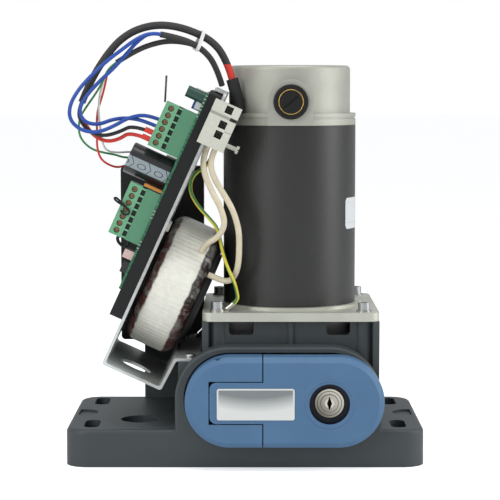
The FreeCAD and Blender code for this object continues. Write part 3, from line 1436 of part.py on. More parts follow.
def entry_run(first, way, outside):
    """The last two points of a wire that goes straight into a terminal's way."""
    d = first + WAY * way
    y = BOARD_Y[0] + ENTRY_BELOW
    return [leaning(PLUG_FACE - outside, y, d), leaning(PLUG_FACE + ENTRY_DEPTH - 1, y, d)]


def main_route():
    mouth, along = tube_mouth()
    return [
        mouth, mouth + along * HEADER_STRAIGHT, (-20.5, -32, 289.5), (-39.5, -38, 298.6), (-57.3, -41, 301.7),
        (-72.9, -44, 298.6), (-84.9, -46, 291.3), (-93.9, -48, 280.8), (-101.3, -49, 269.4),
        (-107.0, -49.6, 258.5), (-111.1, -50, 248.4),
    ]


def blue_sleeve_route():
    return [
        (-16.0, -26, 260.0), (-20.0, -32, 273.5), (-28.5, -38.5, 284.5), (-42.3, -43.5, 291.8),
        (-57.6, -47, 294.6),
    ]


def signal_sleeve_route():
    return [
        (-16.2, -20.5, 260.0), (-19.0, -26.0, 272.0), (-31.1, -33.0, 287.3), (-47.8, -38.0, 290.6),
        (-60.3, -41.0, 289.2), (-74.9, -45.0, 283.7), (-87.5, -47.5, 275.5),
    ]


def after(route, side):
    """Starts a wire beside the middle of a sleeve's end, going the same way."""
    last, before = V(*route[-1]), V(*route[-2])
    way = (last - before).normalize()
    across = way.cross(Y).cross(way).normalize()
    first = last + across * side
    return [first, first + way * SLEEVE_EXIT]


def mains_end(n, y, outside):
    """A wire's last two points, up into the mains terminal."""
    return [leaning(n, y, MAINS_D[0] - outside), leaning(n, y, MAINS_D[0])]


def winding_start(n):
    """A winding lead's first two points, below the mains terminal."""
    y = sum(MAINS_Y) / 2
    return [leaning(n, y, MAINS_D[0]), leaning(n, y, MAINS_D[0] - MAINS_STRAIGHT)]


def winding_end(n, y, outside):
    """A winding lead's last two points, down onto the transformer's outer face."""
    offset = math.sqrt(TOROID_R**2 - (y - TOROID_Y) ** 2)
    away = (Y * (y - TOROID_Y) + UPHILL * offset).normalize()
    end = leaning(n, y, TOROID_D + offset)
    return [end + away * outside, end]


def flank_end(y, up, outside):
    """A winding lead's last two points, straight onto the transformer's free flank."""
    end = leaning(TOROID_N + TOROID_W / 2, y, TOROID_D + up)
    return [end + OUTWARD * outside, end]


def header_run(pin, outside):
    """The last two points of a signal wire, onto a pin of its header."""
    y = SIGNAL_PINS_Y[pin]
    face = BOARD_FACE - SIGNAL_HEADER_H
    return [leaning(face - outside, y, SIGNAL_D), leaning(face, y, SIGNAL_D)]


def signal_leads():
    """The thin sleeved cable of the limit sensor, with its three wires."""
    sleeve = signal_sleeve_route()
    spread = 2 * SIGNAL_WIRE_R + WIRE_GAP
    green = [
        *after(sleeve, -spread), (-98.0, -46.0, 260.1), (-108.4, -44.0, 245.6), (-113.2, -42.0, 238.7),
        (-114.6, -40.0, 230.4), (-113.2, -37.0, 222.9), (-106.3, -34.0, 216.0), (-97.3, -31.0, 213.4),
        (-90.4, -27.0, 212.1), (-84.5, -23.5, 209.8), (-76.5, -21.5, 210.0), *header_run(0, HEADER_STRAIGHT),
    ]
    white = [
        *after(sleeve, 0), (-97.0, -44.5, 262.2), (-100.0, -43.5, 251.1), (-100.4, -42.5, 238.6),
        (-98.4, -41.5, 222.7), (-96.6, -38.0, 215.8), (-90.7, -32.0, 213.5), (-79.0, -20.0, 214.0),
        *header_run(1, HEADER_STRAIGHT),
    ]
    red = [
        *after(sleeve, spread), (-94.9, -43.0, 263.6), (-98.3, -41.5, 251.1), (-101.8, -40.5, 241.4),
        (-101.8, -40.0, 226.2), (-102.0, -39.0, 217.9), (-100.1, -37.0, 209.9), (-94.9, -34.0, 205.4),
        (-87.5, -28.0, 202.7), (-78.0, -17.0, 207.0), *header_run(2, HEADER_STRAIGHT),
    ]
    shapes = [tube("signal_sleeve", sleeve, SIGNAL_SLEEVE_R)]
    for name, route in (("green", green), ("white", white), ("red", red)):
        shapes.append(tube(f"signal_wire_{name}", route, SIGNAL_WIRE_R))
    return Part.makeCompound(shapes)


def cords():
    main, blue = main_route(), blue_sleeve_route()
    upper = UPPER_FIRST_D
    in_ferrule = WAY_STRAIGHT + FERRULE_L
    beside = WIRE_R + WIRE_GAP / 2
    barrel, along = lug_barrel()
    lug_end = barrel + along * LUG_BARREL_L
    routes = {
        "main_sleeve": (main, SLEEVE_R),
        "blue_sleeve": (blue, BLUE_SLEEVE_R),
        "blue_wire_upper": ([
            *after(blue, -beside), (-74.0, -53.2, 291.2), (-83.0, -55.5, 284.3), (-92.8, -57, 277.0),
            (-103.6, -57.5, 267.0), (-112.9, -57.5, 257.0), (-118.9, -57.5, 246.4),
            (-118.8, -57.5, 236.5), (-111.0, -57.5, 229.5), (-100.0, -56.5, 228.0),
            (-89.0, -51.5, 232.5), (-79.0, -46.5, 238.5), *entry_run(upper, 3, WAY_STRAIGHT)], WIRE_R),
        "blue_wire_lower": ([
            *after(blue, beside), (-73.0, -49.0, 290.0), (-80.7, -51.5, 281.0), (-88.6, -53.0, 272.0),
            (-99.0, -54.0, 262.5), (-107.8, -54.5, 253.0), (-113.2, -54.8, 243.0),
            (-109.0, -54.5, 235.0), (-100.0, -51.5, 233.2), (-90.4, -46.5, 237.0),
            (-80.0, -43.5, 238.0), *entry_run(upper, 2, WAY_STRAIGHT)], WIRE_R),
        "black_wire": ([
            *after(main, -beside), (-111.4, -51.0, 234.5), (-105.5, -51.5, 228.0), (-96.5, -51.0, 225.5),
            (-86.5, -47.5, 228.0), *entry_run(upper, 1, in_ferrule)], WIRE_R),
        "red_wire": ([
            *after(main, beside), (-109.0, -46.8, 233.5), (-103.8, -46, 225.8), (-95.5, -45.5, 221.6),
            (-86.5, -44.5, 223.0), *entry_run(upper, 0, in_ferrule)], WIRE_R),
        "winding_lead_left": ([
            *winding_start(3.6), (-27.8, -49, 199.5), (-22.8, -51.5, 188.0), (-16.4, -51.5, 176.5),
            (-13.4, -50.0, 165.0), (-18.5, -47.5, 156.0),
            *winding_end(30, WINDING_EXIT_Y, MAINS_STRAIGHT)], WINDING_LEAD_R),
        "winding_lead_right": ([
            *winding_start(9.0), (-22.0, -49, 198.0), (-15.5, -50, 187.5), (-8.4, -49.5, 175.5),
            (-4.2, -48.5, 161.5), (-4.0, -47.5, 149.5), (-4.5, -45.5, 138.0), (-6.5, -42.0, 130.0),
            (-10.5, -38.0, 124.5), *flank_end(WINDING_EXIT_Y, 19.8, HEADER_STRAIGHT)], WINDING_LEAD_R),
        "earth_lead": ([
            lug_end, lug_end + along * 4, (-5.6, -44.0, 117.5), (-7.2, -46.5, 124.5),
            (-10.5, -46.8, 131.5), (-14.0, -45.0, 140.5), (-16.4, -42.5, 150.0), (-18.9, -40.5, 162.0),
            (-25.8, -42.5, 170.0), (-32.8, -44.5, 178.0), (-37.6, -46.2, 186.9), (-37.3, -46.5, 195.0),
            (-33.5, -45.5, 200.8), (-28.0, -42.5, 203.4), *mains_end(9.0, -41.3, MAINS_STRAIGHT)], EARTH_R),
    }
    return {name: tube(name, route, radius) for name, (route, radius) in routes.items()}


def wire_ferrules():
    shapes = []
    for way in (0, 1):
        d = UPPER_FIRST_D + WAY * way
        mouth = leaning(PLUG_FACE, BOARD_Y[0] + ENTRY_BELOW, d)
        shapes.append(ring(mouth - OUTWARD * FERRULE_L, OUTWARD, FERRULE_R, WIRE_R + FIT, FERRULE_L))
    return Part.makeCompound(shapes)


def parts():
    makers = [
        base_housing, output_cover, cover_screws, output_bearings, shaft_seal, output_shaft,
        worm_wheel, output_pinion, pinion_bolt, motor_flange, flange_screws, motor_can,
        motor_end_cap, brush_caps, brushes, field_magnets, rotor_bearings, rotor_shaft, worm,
        armature, commutator, release_clevis, hinge_pin, release_lever, lever_nameplate,
        lock_body, lock_plug, release_plunger, plunger_spring, mounting_bracket, bracket_screws,
        board_tray, tray_clips, control_board, terminal_headers, upper_plug, lower_plug,
        terminal_screws, main_capacitor, board_components, mains_terminal, nylon_screw,
        toroid_transformer, toroid_pads, toroid_clamp, toroid_bolt, sensor_housing,
        cable_grommet, ring_lug, wire_ferrules, signal_leads,
    ]
    made = {maker.__name__: maker() for maker in makers}
    made.update(cords())
    return made


def main():
    os.makedirs("parts", exist_ok=True)
    for name, shape in parts().items():
        shape.exportStep(f"parts/{name}.step")
        print(name, len(shape.Solids), round(shape.Volume), shape.isValid())


main()
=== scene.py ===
import bmesh
import bpy
import math
from mathutils import Matrix, Vector


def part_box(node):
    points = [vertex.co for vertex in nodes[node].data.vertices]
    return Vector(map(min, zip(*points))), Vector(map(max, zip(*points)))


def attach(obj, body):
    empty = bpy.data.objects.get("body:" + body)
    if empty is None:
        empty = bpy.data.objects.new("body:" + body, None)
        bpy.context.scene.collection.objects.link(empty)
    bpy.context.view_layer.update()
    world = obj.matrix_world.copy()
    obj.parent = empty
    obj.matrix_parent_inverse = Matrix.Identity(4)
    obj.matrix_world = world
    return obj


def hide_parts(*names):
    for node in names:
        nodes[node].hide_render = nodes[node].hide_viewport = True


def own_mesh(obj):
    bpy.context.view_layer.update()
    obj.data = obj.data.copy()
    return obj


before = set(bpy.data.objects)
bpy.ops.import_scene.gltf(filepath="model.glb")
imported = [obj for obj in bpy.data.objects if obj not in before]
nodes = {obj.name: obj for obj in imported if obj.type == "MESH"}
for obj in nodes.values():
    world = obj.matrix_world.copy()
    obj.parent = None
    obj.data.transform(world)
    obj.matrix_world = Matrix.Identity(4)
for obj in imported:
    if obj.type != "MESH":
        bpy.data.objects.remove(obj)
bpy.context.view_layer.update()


# Studio
# A white sweep, as in a catalogue photograph, seen with a long lens from a little above the
# motor's end cap. Three soft lamps and a pale world light the motor evenly. Each lamp has a
# name, a place, a point it looks at, a size and its watts.
FOCAL_MM = 130.9
CAMERA_PLACE = Vector((0.0034, -1.292, 0.2608))
CAMERA_DIP = math.radians(5.21)
CLIP_NEAR, CLIP_FAR = 0.02, 60.0
SWEEP_REACH = 14.0
SWEEP_WHITE = (0.93, 0.93, 0.93)
SWEEP_GLOW = 0.42
WORLD_TINT = (0.96, 0.98, 1.0, 1)
WORLD_STRENGTH = 0.62
SOFTBOXES = (
    ("left_softbox", (-0.85, -0.95, 0.7), (0, 0, 0.14), (0.5, 0.9), 6.5),
    ("right_softbox", (1.1, -0.26, 0.5), (0, 0, 0.16), (0.3, 0.9), 6.0),
    ("top_softbox", (0.0, -0.2, 1.3), (0, 0, 0.1), (0.9, 0.6), 5.0),
)

eye = bpy.data.cameras.new("studio_camera")
eye.lens = FOCAL_MM
eye.clip_start, eye.clip_end = CLIP_NEAR, CLIP_FAR
camera = bpy.data.objects.new("studio_camera", eye)
camera.location = CAMERA_PLACE
camera.rotation_euler = (math.pi / 2 - CAMERA_DIP, 0, 0)
bpy.context.scene.collection.objects.link(camera)
bpy.context.scene.camera = camera
bpy.context.scene.view_settings.view_transform = "Standard"


# How soft the edge of a painted shape is, in metres.
FINE_EDGE = 0.0002
SOFT_EDGE = 0.0003


class Value:
    """One output of a shader node. Arithmetic on it adds Math nodes."""

    def __init__(self, tree, socket):
        self.tree = tree
        self.socket = socket

    def calc(self, operation, *terms, clamp=False):
        made = self.tree.nodes.new("ShaderNodeMath")
        made.operation = operation
        made.use_clamp = clamp
        for place, term in zip(made.inputs, terms):
            if isinstance(term, Value):
                self.tree.links.new(term.socket, place)
            else:
                place.default_value = term
        return Value(self.tree, made.outputs[0])

    def __add__(self, other):
        return self.calc("ADD", self, other)

    def __sub__(self, other):
        return self.calc("SUBTRACT", self, other)

    def __rsub__(self, other):
        return self.calc("SUBTRACT", other, self)

    def __mul__(self, other):
        return self.calc("MULTIPLY", self, other)

    def __truediv__(self, other):
        return self.calc("DIVIDE", self, other)

    def __abs__(self):
        return self.calc("ABSOLUTE", self)

    __radd__ = __add__
    __rmul__ = __mul__

    def above(self, level, softness):
        """0 below the level and 1 above it, with a soft edge."""
        ramp = (self - level) / softness + 0.5
        return ramp.calc("MINIMUM", ramp, 1, clamp=True)

    def between(self, low, high, softness):
        return self.above(low, softness) * (1 - self.above(high, softness))

    def wave(self, period):
        """A sine from 0 to 1 that repeats at each period."""
        turn = self * (2 * math.pi / period)
        return turn.calc("SINE", turn) * 0.5 + 0.5

    def larger(self, other):
        return self.calc("MAXIMUM", self, other)

    def fraction(self):
        return self.calc("FRACT", self)


def paint(red, green, blue):
    """A colour as a screen shows it, 0 to 255, made linear."""
    shares = [c / 255 for c in (red, green, blue)]
    return tuple(c / 12.92 if c <= 0.04045 else ((c + 0.055) / 1.055) ** 2.4 for c in shares)


class Finish:
    """A material being built on a Principled shader."""

    def __init__(self, name, colour, roughness, metallic=0.0, coat=0.0, specular=0.5):
        self.material = bpy.data.materials.new(name)
        self.material.use_nodes = True
        self.tree = self.material.node_tree
        self.shader = self.tree.nodes["Principled BSDF"]
        self.colour = colour
        self.set("Base Color", (*colour, 1.0))
        self.set("Roughness", roughness)
        self.set("Metallic", metallic)
        self.set("Coat Weight", coat)
        self.set("Coat Roughness", 0.15)
        self.set("Specular IOR Level", specular)

    def set(self, socket, value):
        place = self.shader.inputs[socket]
        if isinstance(value, Value):
            self.tree.links.new(value.socket, place)
        else:
            place.default_value = value

    def node(self, kind, settings=None, output=0, **sockets):
        """Any node: its settings first, then its sockets' values or links."""
        made = self.tree.nodes.new(kind)
        for name, value in (settings or {}).items():
            setattr(made, name, value)
        for name, value in sockets.items():
            place = made.inputs[int(name[1:]) if name[1:].isdigit() else name.replace("_", " ")]
            if isinstance(value, Value):
                self.tree.links.new(value.socket, place)
            else:
                place.default_value = value
        return Value(self.tree, made.outputs[output])

    def place(self, source="Object"):
        return self.node("ShaderNodeTexCoord", output=source)

    def coordinate(self, axis, source="Object"):
        """One coordinate: in metres, or on the UV map."""
        return self.node("ShaderNodeSeparateXYZ", output=axis, Vector=self.place(source))

    def along(self, direction, origin=(0, 0, 0)):
        """How far a point lies along a direction from an origin, in metres."""
        kind = "ShaderNodeVectorMath"
        moved = self.node(kind, {"operation": "SUBTRACT"}, i0=self.place(), i1=tuple(origin))
        return self.node(kind, {"operation": "DOT_PRODUCT"}, "Value", i0=moved, i1=tuple(direction))

    def noise(self, size, detail=3.0, rough=0.5, stretch=(1, 1, 1)):
        """Noise from 0 to 1 whose grains are about size metres across."""
        scaled = self.node("ShaderNodeMapping", i0=self.place(), i3=stretch)
        settings = {"Vector": scaled, "Scale": 1 / size, "Detail": detail, "Roughness": rough}
        return self.node("ShaderNodeTexNoise", **settings)

    def mix(self, share, first, second):
        """A colour between two colours, each a tuple or a link."""
        ends = [c if isinstance(c, Value) else (*c, 1.0) for c in (first, second)]
        return self.node("ShaderNodeMix", {"data_type": "RGBA"}, 2, i0=share, i6=ends[0], i7=ends[1])

    def relief(self, height, depth, strength=1.0):
        """A bump of that depth in metres, which feeds the normal."""
        return self.node("ShaderNodeBump", Height=height, Distance=depth, Strength=strength)

    def shades(self, darker, lighter, size, spread=1.0):
        """Colour that wanders a little over the surface."""
        share = (self.noise(size) - 0.5) * spread + 0.5
        low, high = ([c * k for c in self.colour] for k in (darker, lighter))
        self.set("Base Color", self.mix(share, low, high))
        return self

    def grained(self, size, detail, swing, floor, depth, **shape):
        """Fine grain that drives the roughness, from the floor up by the swing, and the relief."""
        grain = self.noise(size, detail, **shape)
        self.set("Roughness", grain * swing + floor)
        self.set("Normal", self.relief(grain, depth))
        return grain


sweep_finish = Finish("sweep_white", SWEEP_WHITE, 0.9, specular=0.1)
sweep_mesh = bpy.data.meshes.new("sweep")
reach = SWEEP_REACH
sweep_mesh.from_pydata(
    [(-reach, -reach, 0), (reach, -reach, 0), (reach, reach, 0), (-reach, reach, 0)], [], [(0, 1, 2, 3)]
)
sweep = bpy.data.objects.new("sweep", sweep_mesh)
bpy.context.scene.collection.objects.link(sweep)
sweep_mesh.materials.append(sweep_finish.material)
sweep_grain = sweep_finish.noise(0.004)
sweep_finish.set("Roughness", sweep_grain * 0.1 + 0.85)
sweep_out = sweep_finish.tree.nodes["Material Output"]
sweep_link = sweep_finish.tree.links.new
sweep_glow = sweep_finish.node("ShaderNodeEmission", Color=(1, 1, 1, 1), Strength=SWEEP_GLOW)
sweep_sum = sweep_finish.node("ShaderNodeAddShader")
sweep_link(sweep_finish.shader.outputs[0], sweep_sum.socket.node.inputs[0])
sweep_link(sweep_glow.socket, sweep_sum.socket.node.inputs[1])
sweep_seen = sweep_finish.node("ShaderNodeLightPath", output="Is Camera Ray")
sweep_pick = sweep_finish.node("ShaderNodeMixShader", i0=sweep_seen)
sweep_link(sweep_finish.shader.outputs[0], sweep_pick.socket.node.inputs[1])
sweep_link(sweep_sum.socket, sweep_pick.socket.node.inputs[2])
sweep_link(sweep_pick.socket, sweep_out.inputs["Surface"])

world = bpy.data.worlds.new("studio")
world.use_nodes = True
bpy.context.scene.world = world
world_tree = world.node_tree
for old in list(world_tree.nodes):
    world_tree.nodes.remove(old)
world_link = world_tree.links.new
world_out = world_tree.nodes.new("ShaderNodeOutputWorld")
seen_white = world_tree.nodes.new("ShaderNodeBackground")
lit_grey = world_tree.nodes.new("ShaderNodeBackground")
seen_white.inputs["Color"].default_value = (1, 1, 1, 1)
seen_white.inputs["Strength"].default_value = 1.0
lit_grey.inputs["Color"].default_value = WORLD_TINT
lit_grey.inputs["Strength"].default_value = WORLD_STRENGTH
world_rays = world_tree.nodes.new("ShaderNodeLightPath")
world_pick = world_tree.nodes.new("ShaderNodeMixShader")
world_link(world_rays.outputs["Is Camera Ray"], world_pick.inputs[0])
world_link(lit_grey.outputs[0], world_pick.inputs[1])
world_link(seen_white.outputs[0], world_pick.inputs[2])
world_link(world_pick.outputs[0], world_out.inputs["Surface"])


def softbox(name, place, target, size, power):
    """A rectangular lamp that looks at a point."""
    lamp = bpy.data.lights.new(name, "AREA")
    lamp.shape = "RECTANGLE"
    lamp.size, lamp.size_y = size
    lamp.energy = power
    held = bpy.data.objects.new(name, lamp)
    held.location = place
    held.rotation_euler = (Vector(target) - Vector(place)).to_track_quat("-Z", "Y").to_euler()
    bpy.context.scene.collection.objects.link(held)


for settings in SOFTBOXES:
    softbox(*settings)


# Pieces
# How a CAD node gets its finish, and how a mesh gets its finish and joins its body.
MM = 0.001


def dress(finish, *names):
    """Gives CAD nodes their finish."""
    for name in names:
        for held in nodes[name].material_slots:
            held.material = finish.material


def piece(name, mesh_or_bm, finish, body, place=None):
    """Turns mesh data into a finished object that rides on a body."""
    if isinstance(mesh_or_bm, bmesh.types.BMesh):
        bmesh.ops.recalc_face_normals(mesh_or_bm, faces=mesh_or_bm.faces)
        mesh = bpy.data.meshes.new(name)
        mesh_or_bm.to_mesh(mesh)
        mesh_or_bm.free()
    else:
        mesh = mesh_or_bm
        mesh.name = name
    if place is not None:
        mesh.transform(place)
    mesh.materials.clear()
    mesh.materials.append(finish.material)
    made = bpy.data.objects.new(name, mesh)
    bpy.context.scene.collection.objects.link(made)
    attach(made, body)
    return made


def round_bar(name, points, radius, finish, body, sides=12, closed=False):
    """A plain tube through points in metres, with flat ends or as a closed ring."""
    bm = bmesh.new()
    rings = []
    for index, point in enumerate(points):
        after = points[(index + 1) % len(points)] if closed or index + 1 < len(points) else point
        before = points[index - 1] if closed or index else point
        way = (after - before).normalized()
        across = across - way * across.dot(way) if rings else way.orthogonal()
        across.normalize()
        other = way.cross(across)
        rings.append([
            bm.verts.new(point + (across * math.cos(a) + other * math.sin(a)) * radius)
            for a in (2 * math.pi * k / sides for k in range(sides))
        ])
    pairs = list(zip(rings, rings[1:])) + ([(rings[-1], rings[0])] if closed else [])
    for a, b in pairs:
        for k in range(sides):
            j = (k + 1) % sides
            bm.faces.new((a[k], a[j], b[j], b[k]))
    if not closed:
        bm.faces.new(rings[0][::-1])
        bm.faces.new(rings[-1])
    made = piece(name, bm, finish, body)
    for face in made.data.polygons:
        face.use_smooth = len(face.vertices) == 4
    return made


# Cords
# PVC-covered copper wires and woven black sleeves, each one smooth curve on the route that
# its solid follows. They come out of the motor's rubber tube, arch over and go into the plugs.
SLEEVE_D = 5.2
BLUE_SLEEVE_D = 4.2
WIRE_D = 2.6
LEAD_D = 4.2
EARTH_D = 2.6
SIGNAL_SLEEVE_D = 3.7
SIGNAL_WIRE_D = 1.5
CORD_STEPS = 10
CORD_ROUNDNESS = 5
YARNS_ALONG = 90
YARNS_ROUND = 6
RED_SHOWS_BELOW = 0.2745
RED_SHOWS_RIGHT_OF = -0.03


def woven_sleeve(name, bare_below=None):
    """Black braid: two sets of flat yarns that cross along the sleeve."""
    braid = Finish(name, paint(38, 38, 38), 0.62, specular=0.35)
    across, run = braid.coordinate("Y", "UV"), braid.coordinate("X", "UV")
    left = (run * YARNS_ALONG + across * YARNS_ROUND).wave(1)
    right = (run * YARNS_ALONG - across * YARNS_ROUND).wave(1)
    weave = left.larger(right)
    fuzz = braid.noise(0.0004)
    braid.set("Normal", braid.relief(weave * 0.8 + fuzz * 0.3, 0.0003, 0.8))
    shade = braid.mix(weave * 0.6 + fuzz * 0.4, paint(24, 24, 24), paint(64, 64, 63))
    if bare_below is not None:
        right_of = braid.coordinate("X").above(RED_SHOWS_RIGHT_OF, 0.001)
        bare = (1 - braid.coordinate("Z").above(bare_below, 0.0004)) * right_of
        shade = braid.mix(bare, shade, paint(214, 60, 48))
    braid.set("Base Color", shade)
    return braid


def pvc(name, colour, roughness=0.38):
    """Wire covering: smooth, with faint handling marks."""
    cover = Finish(name, colour, roughness, specular=0.45).shades(0.86, 1.12, 0.006)
    cover.grained(0.0011, 4.0, 0.2, roughness - 0.1, 0.00006)
    return cover


def striped_pvc(name):
    """Earth wire: green with a yellow stripe on each side."""
    cover = Finish(name, paint(44, 118, 62), 0.4)
    across, run = cover.coordinate("Y", "UV"), cover.coordinate("X", "UV")
    stripe = (across + run * 0.6).wave(0.5).above(0.42, 0.08)
    cover.set("Base Color", cover.mix(stripe, paint(44, 118, 62), paint(206, 190, 52)))
    cover.set("Normal", cover.relief(cover.noise(0.0012), 0.00006))
    return cover


def lead(name, diameter, route, finish, node=None):
    """A cord: a smooth tube through its route's points, in millimetres, which hides its CAD node when one
    is given.
    """
    line = bpy.data.curves.new(name, "CURVE")
    line.dimensions = "3D"
    line.resolution_u = CORD_STEPS
    line.bevel_depth = diameter * MM / 2
    line.bevel_resolution = CORD_ROUNDNESS
    line.use_fill_caps = True
    run = line.splines.new("NURBS")
    run.points.add(len(route) - 1)
    for point, place in zip(run.points, route):
        point.co = (*(c * MM for c in place), 1)
    run.order_u = 3
    run.use_endpoint_u = True
    line.materials.append(finish.material)
    cord = bpy.data.objects.new(name, line)
    bpy.context.scene.collection.objects.link(cord)
    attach(cord, "base")
    if node:
        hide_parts(node)


blue_pvc = pvc("blue_pvc", paint(32, 72, 158))
beige_pvc = pvc("beige_pvc", paint(208, 198, 172), 0.42)

MAIN_SLEEVE = [
    (-9.04, -24.26, 264.49), (-11.63, -24.26, 274.15), (-20.5, -32, 289.5), (-39.5, -38, 298.6),
    (-57.3, -41, 301.7), (-72.9, -44, 298.6), (-84.9, -46, 291.3), (-93.9, -48, 280.8),
    (-101.3, -49, 269.4), (-107, -49.6, 258.5), (-111.1, -50, 248.4),
]
main_braid = woven_sleeve("woven_black", RED_SHOWS_BELOW)
lead("main_sleeve_braid", SLEEVE_D, MAIN_SLEEVE, main_braid, node="main_sleeve")
BLUE_SLEEVE = [
    (-16, -26, 260), (-20, -32, 273.5), (-28.5, -38.5, 284.5), (-42.3, -43.5, 291.8), (-57.6, -47, 294.6),
]
thin_braid = woven_sleeve("woven_black_thin")
lead("blue_sleeve_braid", BLUE_SLEEVE_D, BLUE_SLEEVE, thin_braid, node="blue_sleeve")
BLUE_UPPER = [
    (-57.31, -48.32, 294.55), (-64.03, -49.85, 295.78), (-74, -53.2, 291.2), (-83, -55.5, 284.3),
    (-92.8, -57, 277), (-103.6, -57.5, 267), (-112.9, -57.5, 257), (-118.9, -57.5, 246.4),
    (-118.8, -57.5, 236.5), (-111, -57.5, 229.5), (-100, -56.5, 228), (-89, -51.5, 232.5),
    (-79, -46.5, 238.5), (-66.12, -43, 240.23), (-54.29, -43, 234.84),
]
lead("blue_wire_upper_pvc", WIRE_D, BLUE_UPPER, blue_pvc, node="blue_wire_upper")
BLUE_LOWER = [
    (-57.89, -45.68, 294.65), (-64.61, -47.22, 295.88), (-73, -49, 290), (-80.7, -51.5, 281),
    (-88.6, -53, 272), (-99, -54, 262.5), (-107.8, -54.5, 253), (-113.2, -54.8, 243),
    (-109, -54.5, 235), (-100, -51.5, 233.2), (-90.4, -46.5, 237), (-80, -43.5, 238),
    (-68.23, -43, 235.61), (-56.4, -43, 230.22),
]
lead("blue_wire_lower_pvc", WIRE_D, BLUE_LOWER, blue_pvc, node="blue_wire_lower")
BLACK_WIRE = [
    (-111.08, -51.35, 248.45), (-113.71, -51.61, 241.96), (-111.4, -51, 234.5), (-105.5, -51.5, 228),
    (-96.5, -51, 225.5), (-86.5, -47.5, 228), (-75.8, -43, 233.48), (-58.51, -43, 225.6),
]
black_pvc = pvc("black_pvc", paint(34, 34, 35))
lead("black_wire_pvc", WIRE_D, BLACK_WIRE, black_pvc, node="black_wire")
RED_WIRE = [
    (-111.12, -48.65, 248.35), (-113.75, -48.91, 241.87), (-109, -46.8, 233.5), (-103.8, -46, 225.8),
    (-95.5, -45.5, 221.6), (-86.5, -44.5, 223), (-77.9, -43, 228.85), (-60.61, -43, 220.97),
]
red_pvc = pvc("red_pvc", paint(206, 52, 44))
lead("red_wire_pvc", WIRE_D, RED_WIRE, red_pvc, node="red_wire")
LEFT_LEAD = [
    (-25.37, -46, 218.98), (-29.1, -46, 210.79), (-27.8, -49, 199.5), (-22.8, -51.5, 188),
    (-16.4, -51.5, 176.5), (-13.4, -50, 165), (-18.5, -47.5, 156), (-27.38, -41.56, 150.89),
    (-29.94, -35, 145.29),
]
lead("winding_lead_left_pvc", LEAD_D, LEFT_LEAD, beige_pvc, node="winding_lead_left")
RIGHT_LEAD = [
    (-20.45, -46, 216.74), (-24.19, -46, 208.55), (-22, -49, 198), (-15.5, -50, 187.5),
    (-8.4, -49.5, 175.5), (-4.2, -48.5, 161.5), (-4, -47.5, 149.5), (-4.5, -45.5, 138),
    (-6.5, -42, 130), (-10.5, -38, 124.5), (-16.7, -35, 124.91), (-25.8, -35, 129.06),
]
lead("winding_lead_right_pvc", LEAD_D, RIGHT_LEAD, beige_pvc, node="winding_lead_right")
EARTH_LEAD = [
    (-8, -44.2, 109.81), (-4.94, -44.2, 112.38), (-5.6, -44, 117.5), (-7.2, -46.5, 124.5),
    (-10.5, -46.8, 131.5), (-14, -45, 140.5), (-16.4, -42.5, 150), (-18.9, -40.5, 162),
    (-25.8, -42.5, 170), (-32.8, -44.5, 178), (-37.6, -46.2, 186.9), (-37.3, -46.5, 195),
    (-33.5, -45.5, 200.8), (-28, -42.5, 203.4), (-24.19, -41.3, 208.55), (-20.45, -41.3, 216.74),
]
earth_pvc = striped_pvc("earth_pvc")
lead("earth_lead_pvc", EARTH_D, EARTH_LEAD, earth_pvc, node="earth_lead")
SIGNAL_SLEEVE = [
    (-16.2, -20.5, 260), (-19, -26, 272), (-31.1, -33, 287.3), (-47.8, -38, 290.6),
    (-60.3, -41, 289.2), (-74.9, -45, 283.7), (-87.5, -47.5, 275.5),
]
fine_braid = woven_sleeve("woven_black_fine")
lead("signal_sleeve", SIGNAL_SLEEVE_D, SIGNAL_SLEEVE, fine_braid, node="signal_leads")
GREEN_SIGNAL = [
    (-87.28, -49.08, 275.64), (-93.07, -50.23, 271.88), (-98, -46, 260.1), (-108.4, -44, 245.6),
    (-113.2, -42, 238.7), (-114.6, -40, 230.4), (-113.2, -37, 222.9), (-106.3, -34, 216),
    (-97.3, -31, 213.4), (-90.4, -27, 212.1), (-84.5, -23.5, 209.8), (-76.5, -21.5, 210),
    (-65.4, -20.5, 212.17), (-56.3, -20.5, 208.02),
]
green_pvc = pvc("green_pvc", paint(58, 140, 84))
lead("signal_wire_green", SIGNAL_WIRE_D, GREEN_SIGNAL, green_pvc)
WHITE_SIGNAL = [
    (-87.5, -47.5, 275.5), (-93.29, -48.65, 271.73), (-97, -44.5, 262.2), (-100, -43.5, 251.1),
    (-100.4, -42.5, 238.6), (-98.4, -41.5, 222.7), (-96.6, -38, 215.8), (-90.7, -32, 213.5),
    (-79, -20, 214), (-65.4, -17.5, 212.17), (-56.3, -17.5, 208.02),
]
white_pvc = pvc("white_pvc", paint(216, 216, 210))
lead("signal_wire_white", SIGNAL_WIRE_D, WHITE_SIGNAL, white_pvc)
RED_SIGNAL = [
    (-87.72, -45.92, 275.36), (-93.51, -47.07, 271.59), (-94.9, -43, 263.6), (-98.3, -41.5, 251.1),
    (-101.8, -40.5, 241.4), (-101.8, -40, 226.2), (-102, -39, 217.9), (-100.1, -37, 209.9),
    (-94.9, -34, 205.4), (-87.5, -28, 202.7), (-78, -17, 207), (-65.4, -14.5, 212.17),
    (-56.3, -14.5, 208.02),
]
lead("signal_wire_red", SIGNAL_WIRE_D, RED_SIGNAL, red_pvc)


# Cable tie
# A white nylon tie holds the three sleeves together at the top of their arch. Each row of holds
# is a sleeve's place and its radius, in millimetres.
TIE_WAY = Vector((-0.868, -0.274, 0.416)).normalized()
TIE_T = 1.0
TIE_W = 2.4
TIE_STEPS = 64
TIE_HEAD = (3.2, 4.2, 3.6)
TIE_SEAT = 0.1
TIE_HOLDS = (
    (Vector((-30, -35, 294.05)), SLEEVE_D / 2 + TIE_SEAT),
    (Vector((-32.3, -39.8, 286.3)), BLUE_SLEEVE_D / 2 + TIE_SEAT),
    (Vector((-33.7, -33.6, 287)), SIGNAL_SLEEVE_D / 2 + TIE_SEAT),
)


